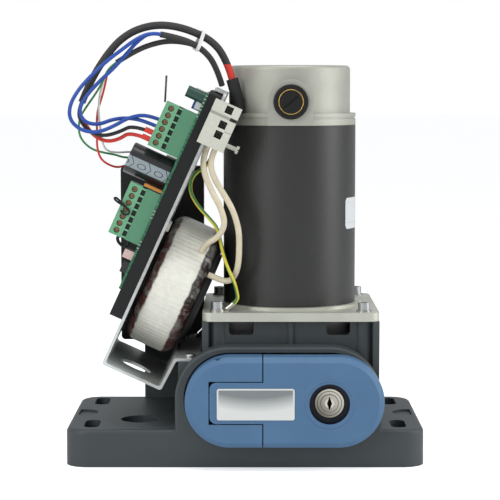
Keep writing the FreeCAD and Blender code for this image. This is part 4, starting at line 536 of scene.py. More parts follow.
def cable_tie():
    """A flat nylon band pulled round the three sleeves, with its head at the back."""
    bm = bmesh.new()
    across = TIE_WAY.orthogonal().normalized()
    other = TIE_WAY.cross(across)
    rings = []
    for step in range(TIE_STEPS):
        angle = 2 * math.pi * step / TIE_STEPS
        out = across * math.cos(angle) + other * math.sin(angle)
        centre, reach = max(TIE_HOLDS, key=lambda held: held[0].dot(out) + held[1])
        rings.append([
            bm.verts.new((centre + out * (reach + lift) + TIE_WAY * side) * MM)
            for lift, side in ((0, -TIE_W / 2), (TIE_T, -TIE_W / 2), (TIE_T, TIE_W / 2), (0, TIE_W / 2))
        ])
    for a, b in zip(rings, rings[1:] + rings[:1]):
        for k in range(4):
            j = (k + 1) % 4
            bm.faces.new((a[k], a[j], b[j], b[k]))
    back = Vector((0, 1, 0)) - TIE_WAY * TIE_WAY.y
    back.normalize()
    held, reach = TIE_HOLDS[-1]
    middle = held + back * (reach + TIE_T + TIE_HEAD[2] / 2 - TIE_SEAT)
    turn = Matrix((TIE_WAY, back.cross(TIE_WAY), back)).transposed().to_4x4()
    size = Matrix.Diagonal((TIE_HEAD[0] * MM, TIE_HEAD[1] * MM, TIE_HEAD[2] * MM, 1))
    bmesh.ops.create_cube(bm, size=1, matrix=Matrix.Translation(middle * MM) @ turn @ size)
    return bm


tie_nylon = Finish("white_tie_nylon", paint(214, 215, 212), 0.38, coat=0.1).shades(0.9, 1.05, 0.004)
tie_nylon.set("Roughness", tie_nylon.noise(0.0012) * 0.2 + 0.28)
piece("cable_tie", cable_tie(), tie_nylon, "base")


# Base
# One sand-cast aluminium housing: foot, drum for the release lever and gearbox. It is blasted
# and powder coated in a dark slate grey, which leaves a fine orange-peel skin.
casting = Finish("slate_powder_coat", paint(57, 63, 65), 0.52, specular=0.45)
peel = casting.noise(0.0011, 4.0, 0.6)
pits = casting.noise(0.0045, 2.0)
casting.shades(0.86, 1.14, 0.035)
casting.set("Roughness", peel * 0.16 + 0.42)
casting.set("Normal", casting.relief(peel * 0.7 + pits * 0.5, 0.00016))
dress(casting, "base_housing", "output_cover")


# Motor
# A drawn steel can in textured charcoal enamel stands on a square cast flange and is closed by
# a cast end cap with two screwed-in brush holders. Eight socket screws hold the flange.
CAN_CENTRE = Vector((0.0315, 0.0065, 0))
CAN_R = 0.047
LABEL_BAND = (0.1595, 0.1814)
LABEL_ARC = (math.radians(-34.5), math.radians(31))
LABEL_COLUMNS, LABEL_ROWS = 28, 14
LABEL_GAP = 0.00004
LABEL_SKIN = 0.00012
LABEL_CORNER = 0.0022
LABEL_LINES = (0.1638, 0.1778)
LABEL_LINE_T = 0.0003
BRUSH_CAP_FACES = (-0.0442, 0.0572)
BRUSH_Z = 0.2487
BRUSH_RING_R = 0.0084
BRUSH_RING_WIRE_R = 0.00032
BRUSH_RING_STEPS = 48


def cast_metal(name, colour, roughness, grain):
    """Bare cast aluminium with a sandy skin."""
    metal = Finish(name, colour, roughness, metallic=0.6)
    metal.shades(0.84, 1.12, 0.02)
    metal.grained(grain, 4.0, 0.2, roughness - 0.1, 0.00012, rough=0.6)
    return metal


dress(cast_metal("cast_flange_metal", paint(196, 197, 186), 0.46, 0.0009), "motor_flange")
dress(cast_metal("end_cap_metal", paint(172, 173, 163), 0.54, 0.0007), "motor_end_cap")
enamel = Finish("charcoal_enamel", paint(34, 34, 33), 0.36, specular=0.55)
enamel.shades(0.88, 1.12, 0.05)
enamel.grained(0.0006, 3.0, 0.16, 0.3, 0.00014, rough=0.6)
dress(enamel, "motor_can")


def can_label():
    """A blank film label with rounded corners, wrapped on the right of the can."""
    bm = bmesh.new()
    width = (LABEL_ARC[1] - LABEL_ARC[0]) * CAN_R
    sheets = []
    for lift in (LABEL_GAP, LABEL_GAP + LABEL_SKIN):
        grid = []
        for i in range(LABEL_COLUMNS + 1):
            along = i / LABEL_COLUMNS * width
            inset = max(0.0, LABEL_CORNER - min(along, width - along))
            cut = LABEL_CORNER - math.sqrt(max(LABEL_CORNER**2 - inset**2, 0))
            angle = LABEL_ARC[0] + along / CAN_R
            low, high = LABEL_BAND[0] + cut, LABEL_BAND[1] - cut
            reach = CAN_R + lift
            grid.append([
                bm.verts.new((
                    CAN_CENTRE.x + reach * math.cos(angle), CAN_CENTRE.y + reach * math.sin(angle),
                    low + (high - low) * j / LABEL_ROWS,
                ))
                for j in range(LABEL_ROWS + 1)
            ])
        sheets.append(grid)
    for grid in sheets:
        for a, b in zip(grid, grid[1:]):
            for j in range(LABEL_ROWS):
                bm.faces.new((a[j], b[j], b[j + 1], a[j + 1]))
    under, over = sheets
    rims = [
        ([g[0] for g in under], [g[0] for g in over]), ([g[-1] for g in under], [g[-1] for g in over]),
        (under[0], over[0]), (under[-1], over[-1]),
    ]
    for low, high in rims:
        for j in range(len(low) - 1):
            bm.faces.new((low[j], low[j + 1], high[j + 1], high[j]))
    return bm


film = Finish("label_film", paint(206, 210, 211), 0.35, coat=0.2)
film_height = film.coordinate("Z")
low_line, high_line = (film_height.between(z, z + LABEL_LINE_T, 0.0001) for z in LABEL_LINES)
film_shade = film.mix((low_line + high_line) * 0.5, paint(206, 210, 211), paint(150, 154, 158))
film.set("Base Color", film_shade)
film.set("Roughness", film.noise(0.002) * 0.15 + 0.28)
piece("can_label", can_label(), film, "base")


def turned(name, colour, roughness, metallic=1.0, grain=0.0005, stretch=(1, 1, 1)):
    """Machined metal with fine tool marks."""
    metal = Finish(name, colour, roughness, metallic=metallic)
    floor = max(0.02, roughness - 0.08)
    marks = metal.grained(grain, 3.0, 0.16, floor, 0.00004, rough=0.55, stretch=stretch)
    darker, lighter = [c * 0.86 for c in colour], [min(1, c * 1.1) for c in colour]
    metal.set("Base Color", metal.mix(marks, darker, lighter))
    return metal


zinc_steel = turned("zinc_plated_steel", paint(176, 178, 178), 0.32)
black_steel = turned("black_oxide_steel", paint(52, 52, 54), 0.4, metallic=0.6)
dress(zinc_steel, "flange_screws", "cover_screws", "bracket_screws", "toroid_bolt", "pinion_bolt")

bakelite = Finish("black_moulding", paint(14, 14, 15), 0.42, specular=0.35)
bakelite.grained(0.0005, 3.0, 0.2, 0.3, 0.00005)
dress(bakelite, "brush_caps")
brass_edge = turned("brush_holder_brass", paint(196, 160, 84), 0.3)
for number, face_y in enumerate(BRUSH_CAP_FACES):
    circle = []
    for step in range(BRUSH_RING_STEPS):
        angle = 2 * math.pi * step / BRUSH_RING_STEPS
        across, up = BRUSH_RING_R * math.cos(angle), BRUSH_RING_R * math.sin(angle)
        circle.append(Vector((CAN_CENTRE.x + across, face_y, BRUSH_Z + up)))
    ring_name = "brush_ring_%d" % number
    round_bar(ring_name, circle, BRUSH_RING_WIRE_R, brass_edge, "base", 8, closed=True)


# Inside the motor
# Brushes of pressed carbon, ferrite magnets, a laminated armature with lacquered copper
# windings, a copper commutator and shielded bearings on a ground steel shaft.
ground_steel = turned("ground_steel", paint(190, 190, 188), 0.22, stretch=(1, 1, 9))
bearing_steel = turned("bearing_steel", paint(170, 170, 168), 0.28)
bronze = turned("wheel_bronze", paint(176, 132, 74), 0.36)
carbon = turned("pressed_carbon", paint(42, 42, 44), 0.6, metallic=0.2, grain=0.0008)
ferrite = turned("ferrite", paint(66, 66, 68), 0.7, metallic=0.1, grain=0.0012)
copper = turned("commutator_copper", paint(190, 112, 74), 0.3)
laminations = turned("lacquered_laminations", paint(120, 84, 60), 0.45, metallic=0.7, stretch=(1, 1, 14))
worm_steel = turned("hardened_steel", paint(128, 126, 122), 0.3)
seal_rubber = Finish("moulded_rubber", paint(30, 30, 31), 0.6, specular=0.4)
seal_rubber.grained(0.0012, 4.0, 0.2, 0.5, 0.0001)
dress(carbon, "brushes")
dress(ferrite, "field_magnets")
dress(laminations, "armature")
dress(copper, "commutator")
dress(ground_steel, "rotor_shaft", "output_shaft", "release_plunger", "hinge_pin")

# The plunger's spring is drawn again as the same coil, at the length of its CAD part; the real spring
# shortens as the lever swings.
SPRING_R = 0.006
SPRING_WIRE_R = 0.0007
SPRING_TURNS = 4
SPRING_STEPS = 24
spring_low, spring_high = (Vector(corner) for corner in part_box("plunger_spring"))
spring_middle = (spring_low + spring_high) / 2
spring_length = spring_high.y - spring_low.y
coil = []
for step in range(SPRING_TURNS * SPRING_STEPS + 1):
    angle = 2 * math.pi * step / SPRING_STEPS
    share = step / (SPRING_TURNS * SPRING_STEPS)
    along = spring_low.y + SPRING_WIRE_R + share * (spring_length - 2 * SPRING_WIRE_R)
    coil.append(Vector((
        spring_middle.x + SPRING_R * math.cos(angle), along, spring_middle.z + SPRING_R * math.sin(angle),
    )))
spring = round_bar("plunger_coil", coil, SPRING_WIRE_R, ground_steel, "base", sides=10)
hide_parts("plunger_spring")
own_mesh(spring)
dress(bearing_steel, "rotor_bearings", "output_bearings")
dress(worm_steel, "worm", "output_pinion")
dress(bronze, "worm_wheel")
dress(seal_rubber, "shaft_seal", "cable_grommet", "toroid_pads")


# Release lever
# Two glass-filled nylon mouldings in steel blue: a clevis fixed in the base and the lever that
# swings out of it on a steel pin. The nameplate is brushed aluminium sheet and the lock chromed.
nylon_blue = Finish("steel_blue_nylon", paint(73, 108, 143), 0.46, specular=0.35)
spark = nylon_blue.noise(0.00045, 3.0, 0.6)
LOCK_PLACE = Vector((0.057, 0, 0.0465))
LOCK_HOLE_R = 0.0137
LOCK_RIM = (0.0150, 0.0168)
LOCK_FACE_Y = -0.082
LEVER_FACE_Y = -0.085
KEY_GROOVES = ((0.0080, 0.0084), (0.0058, 0.0062))
KEY_CENTRE_R = 0.0031
KEYWAY_R = 0.0049
KEYWAY_DEPTH = 0.0022
PLATE_MIDDLE = Vector((0.00725, 0, 0.0465))
PLATE_HALF = (0.02615, 0.0107)
PLATE_BEVEL = 0.0011
PLATE_SHEEN_ACROSS = 540
PLATE_SHEEN_DOWN = 100


def from_lock(finish):
    """Distance from the lock's axis, in metres."""
    sideways, upward = finish.along((1, 0, 0), LOCK_PLACE), finish.along((0, 0, 1), LOCK_PLACE)
    squared = sideways * sideways + upward * upward
    return squared.calc("SQRT", squared)


lock_round = from_lock(nylon_blue)
# Painted shade: inside the lock's hole, behind the lever's face, the blue is painted nearly black as the
# shade of the recess.
behind_face = nylon_blue.along((0, 1, 0), (0, LEVER_FACE_Y, 0)).above(0.0004, 0.0005)
lock_recess_shade = behind_face * (1 - lock_round.above(LOCK_HOLE_R + 0.0002, SOFT_EDGE))
blue_shade = nylon_blue.mix(nylon_blue.noise(0.03), paint(68, 103, 138), paint(79, 114, 148))
nylon_blue.set("Base Color", nylon_blue.mix(lock_recess_shade, blue_shade, paint(12, 22, 38)))
raised = lock_round.between(*LOCK_RIM, 0.0008)
nylon_blue.set("Roughness", spark * 0.2 + 0.38)
nylon_blue.set("Normal", nylon_blue.relief(spark * 0.15 + raised, 0.0005))
dress(nylon_blue, "release_lever", "release_clevis")
brushed_plate = Finish("brushed_plate", paint(150, 153, 152), 0.3, metallic=1.0)
strokes = brushed_plate.grained(0.0016, 5.0, 0.2, 0.22, 0.00003, rough=0.6, stretch=(0.04, 1, 9))
plate_x = brushed_plate.along((1, 0, 0), PLATE_MIDDLE)
plate_z = brushed_plate.along((0, 0, 1), PLATE_MIDDLE)
edge_x = abs(plate_x).above(PLATE_HALF[0] - PLATE_BEVEL, FINE_EDGE)
edge_z = abs(plate_z).above(PLATE_HALF[1] - PLATE_BEVEL, FINE_EDGE)
bevel = edge_x.larger(edge_z)
# Painted reflection: the plate is darker at its top middle and lighter towards its ends and bottom, with
# the brushing strokes mixed in.
sheen = strokes * 0.3 + plate_x * plate_x * PLATE_SHEEN_ACROSS - plate_z * PLATE_SHEEN_DOWN
sheen = sheen.calc("ADD", sheen, 0.3, clamp=True)
brushed_face = brushed_plate.mix(sheen, paint(136, 141, 143), paint(222, 224, 221))
brushed_plate.set("Base Color", brushed_plate.mix(bevel, brushed_face, paint(222, 224, 222)))
dress(brushed_plate, "lever_nameplate")
chrome = turned("lock_chrome", paint(168, 165, 154), 0.16, grain=0.0012)
key_round = from_lock(chrome)
outer_groove, inner_groove = (key_round.between(*groove, FINE_EDGE) for groove in KEY_GROOVES)
key_groove = outer_groove + inner_groove
key_centre = 1 - key_round.above(KEY_CENTRE_R, SOFT_EDGE)
# Painted shade: deep in the keyway the chrome is painted nearly black.
behind_lock_face = chrome.along((0, 1, 0), (0, LOCK_FACE_Y, 0))
keyway_shade = behind_lock_face.above(KEYWAY_DEPTH, 0.0004) * (1 - key_round.above(KEYWAY_R, FINE_EDGE))
# Painted reflection: the chrome is lighter towards the upper right of the lock and darker towards its
# lower left.
lock_painted_reflection = chrome.along((1, 0, 1), LOCK_PLACE) * 40 + 0.5
chrome_shade = chrome.mix(lock_painted_reflection, paint(112, 110, 100), paint(196, 193, 182))
chrome_shade = chrome.mix(key_centre, chrome_shade, paint(206, 203, 192))
chrome_shade = chrome.mix(key_groove, chrome_shade, paint(58, 56, 52))
chrome.set("Base Color", chrome.mix(keyway_shade, chrome_shade, paint(20, 17, 14)))
dress(chrome, "lock_body", "lock_plug")


# Bracket
# Two-millimetre steel sheet, punched, bent to a zigzag and zinc plated. It leans back and
# carries the board's tray on one side and the transformer on the other.
LEAN = math.radians(24.5)
TOE = Vector((-0.0974, 0, 0.0696))
UPHILL = Vector((math.sin(LEAN), 0, math.cos(LEAN)))
OUTWARD = Vector((math.cos(LEAN), 0, -math.sin(LEAN)))
TOE_SIDE_X = -0.082
TOE_SIDE_W = 0.024

zinc_sheet = Finish("zinc_plated_sheet", paint(178, 180, 177), 0.5, metallic=0.45)
spangle = zinc_sheet.node("ShaderNodeTexVoronoi", Vector=zinc_sheet.place(), Scale=260.0)
rolled = zinc_sheet.grained(0.003, 4.0, 0.24, 0.26, 0.00005, rough=0.6, stretch=(1, 0.12, 1))
# Painted light: towards the left end of the toe the sheet is painted paler, as light falls there, and it
# is also made less metallic.
toe_painted_light = 1 - zinc_sheet.along((1, 0, 0), (TOE_SIDE_X, 0, 0)).above(0, TOE_SIDE_W)
zinc_shade = zinc_sheet.mix(spangle * 0.5 + rolled * 0.5, paint(160, 163, 161), paint(200, 202, 199))
zinc_sheet.set("Base Color", zinc_sheet.mix(toe_painted_light * 0.8, zinc_shade, paint(214, 221, 220)))
zinc_sheet.set("Metallic", 0.5 - toe_painted_light * 0.35)
dress(zinc_sheet, "mounting_bracket")


# Tray and board
# The tray is a black ABS moulding that two white push-in studs hold on the bracket. The board
# is green-masked glass fibre with tinned pads, and everything on it is soldered from its face.
tray_plastic = Finish("black_abs", paint(17, 18, 19), 0.44, specular=0.35)
tray_plastic.grained(0.0009, 4.0, 0.22, 0.32, 0.00008)
dress(tray_plastic, "board_tray")
white_nylon = Finish("white_nylon", paint(196, 196, 184), 0.42, coat=0.1)
white_nylon.shades(0.93, 1.04, 0.004)
white_nylon.grained(0.0015, 4.0, 0.2, 0.32, 0.00006)
dress(white_nylon, "tray_clips", "nylon_screw")

# The mains terminal's wire openings, their contacts and the lines between its two halves. Inside the
# openings the colour is painted nearly black as shade round the brass contacts, and the wide line in the
# gap between the halves is painted shade; the thin line where the halves split is a dark joint.
TERMINAL_WAY_N = 0.007
TERMINAL_WAYS_D = (0.194, 0.1832, 0.1759)
TERMINAL_WAY_HALF = 0.0027
TERMINAL_INSIDE_Y = (-0.0617, -0.0535)
TERMINAL_CONTACT = (0.0009, 0.0018)
TERMINAL_STEP_N = 0.0101
TERMINAL_GAP_D = (0.1876, 0.1896)
TERMINAL_SPLIT_D = (0.1793, 0.1798)
cream = Finish("cream_polyamide", paint(196, 196, 184), 0.42, coat=0.1)
cream_n = cream.along(OUTWARD, TOE)
cream_d = cream.along(UPHILL, TOE)
inside_block = cream.along((0, 1, 0)).between(*TERMINAL_INSIDE_Y, FINE_EDGE)
beside_way = abs(cream_n - TERMINAL_WAY_N)
openings = inside_block * (1 - beside_way.above(TERMINAL_WAY_HALF, 0.0001))
contacts = 0.0
for way_d in TERMINAL_WAYS_D:
    off_centre = beside_way.larger(abs(cream_d - way_d))
    contacts = off_centre.between(*TERMINAL_CONTACT, SOFT_EDGE) + contacts
past_step = cream_n.above(TERMINAL_STEP_N, SOFT_EDGE)
# Painted shade in the gap between the two halves.
gap_shade = cream_d.between(*TERMINAL_GAP_D, 0.0004) * (1 - past_step) * 0.55
split_line = cream_d.between(*TERMINAL_SPLIT_D, SOFT_EDGE) * past_step * 0.7
cream_grain = cream.grained(0.0015, 4.0, 0.2, 0.32, 0.00006)
cream_shade = cream.mix(cream_grain, paint(186, 186, 174), paint(204, 204, 192))
cream_shade = cream.mix(gap_shade + split_line, cream_shade, paint(84, 84, 76))
# Painted shade, nearly black, inside the openings, round the brass contacts.
opening_shade = cream.mix(contacts, paint(20, 19, 17), paint(128, 116, 92))
cream.set("Base Color", cream.mix(openings, cream_shade, opening_shade))
dress(cream, "mains_terminal")

HOLE_PITCH = 0.00254
mask = Finish("green_solder_mask", paint(34, 112, 76), 0.3, coat=0.4)
board_d = mask.along(UPHILL, TOE)
board_y = mask.along((0, 1, 0))
grid_d = board_d.wave(HOLE_PITCH).above(0.9, 0.06)
grid_y = board_y.wave(HOLE_PITCH).above(0.9, 0.06)
region = mask.noise(0.012, 2.0).above(0.55, 0.04)
pads = grid_d * grid_y * region
tracks = mask.noise(0.006, 1.0, 0.3).wave(0.14).above(0.8, 0.1)
green = mask.mix(tracks, paint(30, 100, 68), paint(52, 140, 96))
mask.set("Base Color", mask.mix(pads, green, paint(196, 196, 188)))
mask.set("Roughness", mask.noise(0.002) * 0.15 + 0.25)
mask.set("Normal", mask.relief(tracks + pads, 0.00004))
dress(mask, "control_board")


# Terminals
# Two plug-in blocks with 5.08 mm between ways, moulded in pale green polyamide, each on its
# own header. Tarnished brass clamp screws sit at the bottom of round wells.
NECK_N = (-0.0252, -0.0220)
NECK_FRONT_Y = -0.0494
plug_green = Finish("plug_green", paint(104, 160, 124), 0.44, specular=0.35)
plug_flow = plug_green.grained(0.0012, 4.0, 0.2, 0.34, 0.00006)
header_green = Finish("header_green", paint(84, 136, 106), 0.46, specular=0.35)
header_green.shades(0.93, 1.06, 0.006)
header_green.set("Normal", header_green.relief(header_green.noise(0.0012), 0.00006))
neck_n = plug_green.along(OUTWARD, TOE)
neck_y = plug_green.along((0, 1, 0))
# Painted shade: the recessed neck behind the plug's front is painted dark green.
neck_shade = neck_n.between(*NECK_N, FINE_EDGE) * neck_y.above(NECK_FRONT_Y, FINE_EDGE)
plug_shade = plug_green.mix(plug_flow, paint(98, 152, 118), paint(112, 170, 132))
plug_green.set("Base Color", plug_green.mix(neck_shade, plug_shade, paint(22, 32, 26)))
dress(plug_green, "upper_plug", "lower_plug")
dress(header_green, "terminal_headers")
brown_brass = turned("tarnished_clamp", paint(150, 122, 96), 0.38, grain=0.0004)
dress(brown_brass, "terminal_screws")
tin = turned("tinned_copper", paint(196, 194, 186), 0.3)
dress(tin, "ring_lug")
dress(pvc("ferrule_red", paint(222, 58, 44), 0.34), "wire_ferrules")


# Parts on the board
# A snap-in electrolytic capacitor in black shrink sleeve with the usual pale polarity stripe,
# a smaller one, a film capacitor, a relay and small moulded parts.
CAPACITOR_Y = -0.037
CAPACITOR_D = 0.136
STRIPE = (-0.0058, 0.0022)
MARK_STEP = 0.0127
MARK_LINE = -0.0023
OVAL_ALONG = 9.6
OVAL_ACROSS = 3.2
shrink = Finish("black_shrink_sleeve", paint(34, 34, 36), 0.3, coat=0.3)
side = shrink.along(UPHILL, TOE + UPHILL * CAPACITOR_D)
front = shrink.along((0, 1, 0), (0, CAPACITOR_Y, 0))
run = shrink.along(OUTWARD, TOE)
stripe = side.between(*STRIPE, SOFT_EDGE) * (1 - front.above(0.0, 0.0005))
phase = (run / MARK_STEP).fraction()
along_mark = (phase - 0.5) * (MARK_STEP / MM)
across_mark = (side - MARK_LINE) / MM
oval = along_mark * along_mark / OVAL_ALONG + across_mark * across_mark / OVAL_ACROSS
beside = ((phase + 0.5).fraction() - 0.5) * (MARK_STEP / MM)
arrow = beside + abs(across_mark) * 0.7
mark = (oval.between(0.7, 1.15, 0.2) + arrow.between(0.3, 0.9, 0.15)) * stripe
shrink.grained(0.0016, 4.0, 0.16, 0.24, 0.00008)
sleeve_colour = shrink.mix(stripe, paint(34, 34, 36), paint(138, 150, 156))
shrink.set("Base Color", shrink.mix(mark, sleeve_colour, paint(48, 52, 56)))
dress(shrink, "main_capacitor")
# Each small part's lower and upper end on the board, its front and back, and its colour.
PART_COLOURS = (
    (190.0, 199.5, -48.5, -40.05, paint(30, 68, 60)),
    (185.0, 190.0, -46.5, -41.5, paint(196, 198, 198)),
    (183.5, 191.5, -34.5, -26.5, paint(52, 96, 168)),
    (191.5, 199.5, -40.05, -36.0, paint(214, 214, 206)),
    (122.0, 125.0, -48.5, -37.5, paint(196, 128, 44)),
    (138.0, 148.0, -23.5, -11.5, paint(222, 220, 208)),
    (71.5, 78.5, -48.5, -37.5, paint(206, 176, 170)),
    (169.5, 179.5, 19.5, 42.5, paint(150, 156, 160)),
)
board_parts = Finish("moulded_board_parts", paint(28, 28, 30), 0.4, coat=0.15)
parts_d = board_parts.along(UPHILL, TOE)
parts_y = board_parts.along((0, 1, 0))
parts_shade = board_parts.mix(board_parts.noise(0.002), paint(25, 25, 27), paint(38, 38, 40))
for low_d, high_d, low_y, high_y, tint in PART_COLOURS:
    across_d = parts_d.between(low_d * MM, high_d * MM, 0.0001)
    here = across_d * parts_y.between(low_y * MM, high_y * MM, 0.0001)
    parts_shade = board_parts.mix(here, parts_shade, tint)
board_parts.set("Base Color", parts_shade)
board_parts.set("Roughness", board_parts.noise(0.0011) * 0.2 + 0.3)
board_parts.set("Normal", board_parts.relief(board_parts.noise(0.0007), 0.00005))
dress(board_parts, "board_components")


UPPER_JUMPER = (
    (-81.5, -48.5, 177.6), (-82.2, -51, 177.8), (-84.8, -51.5, 179.2), (-88.2, -51, 181.6),
    (-89.2, -51, 183.2), (-87.6, -52.5, 183.4), (-84.4, -52.6, 180.4), (-81.2, -52.6, 177.0),
    (-79.2, -52.4, 174.6), (-79.8, -52.2, 172.6), (-82.6, -51.8, 172.2), (-84.4, -51.2, 174.0),
    (-84.8, -48.5, 174.8),
)
UPPER_JUMPER_R = 0.00075
LOWER_JUMPER = (
    (-85.5, -43, 157.2), (-87.8, -43.5, 155.6), (-87.2, -44, 152.6), (-84.2, -44.5, 150.0),
    (-81.2, -44.5, 150.6), (-79.6, -44, 153.0), (-78.8, -43.5, 155.0),
)
LOWER_JUMPER_R = 0.0011
AERIAL_FOOT = Vector((-0.0548, -0.043, 0.2486))
AERIAL_TIP = Vector((-0.0537, -0.043, 0.2668))
AERIAL_R = 0.0007


def smooth(points, steps=6):
    """Points in metres along a smooth line through the given ones, in millimetres."""
    spots = [Vector(p) * MM for p in points]
    padded = [spots[0], *spots, spots[-1]]
    made = []
    for a, b, c, d in zip(padded, padded[1:], padded[2:], padded[3:]):
        for k in range(steps):
            t = k / steps
            square, cube = 2 * a - 5 * b + 4 * c - d, 3 * b - a - 3 * c + d
            made.append(0.5 * (2 * b + (c - a) * t + square * t**2 + cube * t**3))
    return [*made, spots[-1]]


round_bar("jumper_upper", smooth(UPPER_JUMPER), UPPER_JUMPER_R, bakelite, "base")
round_bar("jumper_lower", smooth(LOWER_JUMPER), LOWER_JUMPER_R, bakelite, "base")
aerial = pvc("aerial_wire", paint(58, 58, 60))
round_bar("aerial_pin", [AERIAL_FOOT, AERIAL_TIP], AERIAL_R, aerial, "base")


# Transformer
# A toroid wound with enamelled copper and wrapped all over with clear polyester tape. It is
# clamped to the bracket between rubber pads by a dished steel washer and one bolt.
TOROID_CENTRE = Vector((22 * MM, 0, 64 * MM))
TOROID_R = 47.5 * MM
TOROID_HOLE_R = 14.5 * MM
TOROID_HALF = 18.0 * MM
TOROID_EDGE = 8.5 * MM
TAPE_TURNS = 84
TAPE_STEP = 0.32 * MM
TAPE_EDGES = (-13.4 * MM, 11.4 * MM)
TAPE_SWAY = 0.006
TAPE_SEED = 5
TAPE_LAP = 1.5
TAPE_WANDER = 3.5 * MM
GREY_SHADE_BELOW, GREY_SHADE_SOFT = -34 * MM, 16 * MM
SHADOW_ABOVE, SHADOW_SOFT = -12 * MM, 20 * MM
EDGE_STEPS = 6
WINDING_WIRES = 150
# Where across its width a turn of tape lies, and how much of a tape step it is lifted there.
TAPE_LIFTS = (
    (-1, -0.9), (-1, -0.2), (-0.5, 0.0), (0, 0.28), (0.5, 0.62), (0.96, 1.0), (1, 0.6), (1, -0.9),
)


def repeated_round_axis():
    """A node tree that repeats the host's mesh round an axis, each copy a little off."""
    tree = bpy.data.node_groups.new("turns_round_an_axis", "GeometryNodeTree")
    for name, kind in (
        ("Part", "Geometry"), ("Count", "Int"), ("Step", "Vector"), ("Sway", "Float"), ("Seed", "Int"),
        ("Finish", "Material"),
    ):
        tree.interface.new_socket(name, in_out="INPUT", socket_type="NodeSocket" + kind)
    tree.interface.new_socket("Made", in_out="OUTPUT", socket_type="NodeSocketGeometry")
    given = tree.nodes.new("NodeGroupInput")
    out = tree.nodes.new("NodeGroupOutput")
    link = tree.links.new

    points = tree.nodes.new("GeometryNodeMeshLine")
    points.mode = "OFFSET"
    link(given.outputs["Count"], points.inputs["Count"])
    number = tree.nodes.new("GeometryNodeInputIndex")
    chance = tree.nodes.new("FunctionNodeRandomValue")
    chance.data_type = "FLOAT_VECTOR"
    chance.inputs[0].default_value = (-1, -1, -1)
    chance.inputs[1].default_value = (1, 1, 1)
    link(given.outputs["Seed"], chance.inputs["Seed"])
    swayed = tree.nodes.new("ShaderNodeVectorMath")
    swayed.operation = "SCALE"
    link(chance.outputs[0], swayed.inputs[0])
    link(given.outputs["Sway"], swayed.inputs["Scale"])
    copies = tree.nodes.new("GeometryNodeInstanceOnPoints")
    link(points.outputs[0], copies.inputs["Points"])
    link(given.outputs["Part"], copies.inputs["Instance"])
    points.inputs["Offset"].default_value = (0, 0, 0)
    turn = tree.nodes.new("ShaderNodeVectorMath")
    turn.operation = "SCALE"
    link(given.outputs["Step"], turn.inputs[0])
    link(number.outputs[0], turn.inputs["Scale"])
    total = tree.nodes.new("ShaderNodeVectorMath")
    total.operation = "ADD"
    link(turn.outputs[0], total.inputs[0])
    link(swayed.outputs[0], total.inputs[1])
    link(total.outputs[0], copies.inputs["Rotation"])
    real = tree.nodes.new("GeometryNodeRealizeInstances")
    coloured = tree.nodes.new("GeometryNodeSetMaterial")
    link(copies.outputs[0], real.inputs[0])
    link(real.outputs[0], coloured.inputs["Geometry"])
    link(given.outputs["Finish"], coloured.inputs["Material"])
    link(coloured.outputs[0], out.inputs[0])
    return tree


ROUND_TREE = repeated_round_axis()


def spread(name, bm, finish, body, count, step, place, sway, seed, slot_name):
    """Repeats one part's mesh round an axis and keeps the plain result."""
    bmesh.ops.recalc_face_normals(bm, faces=bm.faces)
    mesh = bpy.data.meshes.new(name)
    bm.to_mesh(mesh)
    bm.free()
    host = bpy.data.objects.new(name + "_host", mesh)
    bpy.context.scene.collection.objects.link(host)
    nodes_modifier = host.modifiers.new("repeat", "NODES")
    nodes_modifier.node_group = ROUND_TREE
    given = {i.name: i.identifier for i in ROUND_TREE.interface.items_tree if i.in_out == "INPUT"}
    nodes_modifier[given["Count"]] = count
    nodes_modifier[given["Step"]] = step
    nodes_modifier[given["Sway"]] = sway
    nodes_modifier[given["Seed"]] = seed
    nodes_modifier[given["Finish"]] = finish.material
    graph = bpy.context.evaluated_depsgraph_get()
    made = bpy.data.meshes.new_from_object(host.evaluated_get(graph))
    host.modifiers.remove(nodes_modifier)
    bpy.data.objects.remove(host)
    return piece(name, made, finish, body, place)


def ring_section():
    """The toroid's rounded cross-section as (radius, axial place, outward direction)."""
    middle = (TOROID_R + TOROID_HOLE_R) / 2
    half = (TOROID_R - TOROID_HOLE_R) / 2
    section = []
    for quarter in range(4):
        corner = Vector((
            (half - TOROID_EDGE) * (1 if quarter in (0, 3) else -1),
            (TOROID_HALF - TOROID_EDGE) * (1 if quarter in (0, 1) else -1),
        ))
        for step in range(EDGE_STEPS + 1):
            angle = math.pi / 2 * (quarter + step / EDGE_STEPS)
            out = Vector((math.cos(angle), math.sin(angle)))
            spot = corner + out * TOROID_EDGE
            section.append((middle + spot.x, spot.y, out))
    return section


def tape_turn():
    """One turn of tape round the ring's section, lifted at the edge that laps over."""
    bm = bmesh.new()
    half_angle = math.pi / TAPE_TURNS * TAPE_LAP
    rings = []
    for radius, axial, out in ring_section():
        ring = []
        for share, lift in TAPE_LIFTS:
            angle = share * half_angle
            reach = radius + out.x * lift * TAPE_STEP
            height = axial + out.y * lift * TAPE_STEP
            ring.append(bm.verts.new((reach * math.cos(angle), reach * math.sin(angle), height)))
        rings.append(ring)
    for a, b in zip(rings, rings[1:] + rings[:1]):
        for j in range(len(TAPE_LIFTS)):
            k = (j + 1) % len(TAPE_LIFTS)
            bm.faces.new((a[j], b[j], b[k], a[k]))
    return bm
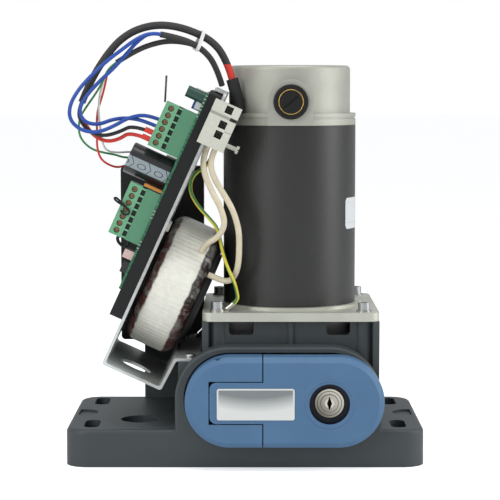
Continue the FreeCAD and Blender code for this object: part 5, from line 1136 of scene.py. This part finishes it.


# The winding shows dark on both flanks, with red wires here and there. The tape is painted greyer towards
# the bottom as shade, and on the upper part of one flank the red is painted out as shadow.
tape = Finish("clear_polyester_tape", paint(214, 212, 198), 0.3, coat=0.3)
ring_axis = TOE + OUTWARD * TOROID_CENTRE.x + UPHILL * TOROID_CENTRE.z
axial = tape.along(OUTWARD, ring_axis)
ring_up = tape.along(UPHILL, ring_axis)
ring_side = tape.along((0, 1, 0), ring_axis)
turning = ring_up.calc("ARCTAN2", ring_up, ring_side)
wires = turning.wave(2 * math.pi / WINDING_WIRES)
creases = tape.noise(0.004, 5.0, 0.65)
fine = tape.noise(0.0009, 3.0)
wander = (tape.noise(0.007, 3.0) - 0.5) * TAPE_WANDER
flank = 1 - (axial + wander).between(*TAPE_EDGES, 0.0012)
patches = tape.noise(0.009, 2.0).above(0.42, 0.2)
shows = flank * (patches * 0.3 + 0.7)
# Painted shade: greyer towards the bottom of the ring.
lower_shade = (1 - ring_up.above(GREY_SHADE_BELOW, GREY_SHADE_SOFT)) * 0.45
milky = tape.mix(creases, paint(206, 205, 193), paint(242, 241, 231))
milky = tape.mix(lower_shade, milky, paint(128, 132, 122))
shadowed = axial.above(0, 0.002) * ring_up.above(SHADOW_ABOVE, SHADOW_SOFT) * 0.85
red_shows = wires * creases * (patches * 0.9 + 0.25) * (1 - shadowed)
winding = tape.mix(red_shows, paint(24, 20, 20), paint(138, 60, 52))
tape.set("Base Color", tape.mix(shows, milky, winding))
tape.set("Roughness", creases * 0.24 + 0.2)
tape.set("Normal", tape.relief(creases * 0.8 + fine * 0.2 + wires * flank * 0.3, 0.0006, 0.7))
turn_axis = Matrix.Translation(ring_axis) @ Matrix((
    (UPHILL.x, 0, OUTWARD.x, 0), (0, 1, 0, 0), (UPHILL.z, 0, OUTWARD.z, 0), (0, 0, 0, 1)
))
toroid = spread(
    "toroid_tape", tape_turn(), tape, "base", TAPE_TURNS, (0, 0, 2 * math.pi / TAPE_TURNS),
    turn_axis, sway=TAPE_SWAY, seed=TAPE_SEED, slot_name="tape",
)
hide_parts("toroid_transformer")
for face in toroid.data.polygons:
    face.use_smooth = True
dress(black_steel, "toroid_clamp")


# Sensor housing
# A two-part black moulding behind the bracket that holds the limit sensor towards the gate.
dress(tray_plastic, "sensor_housing")
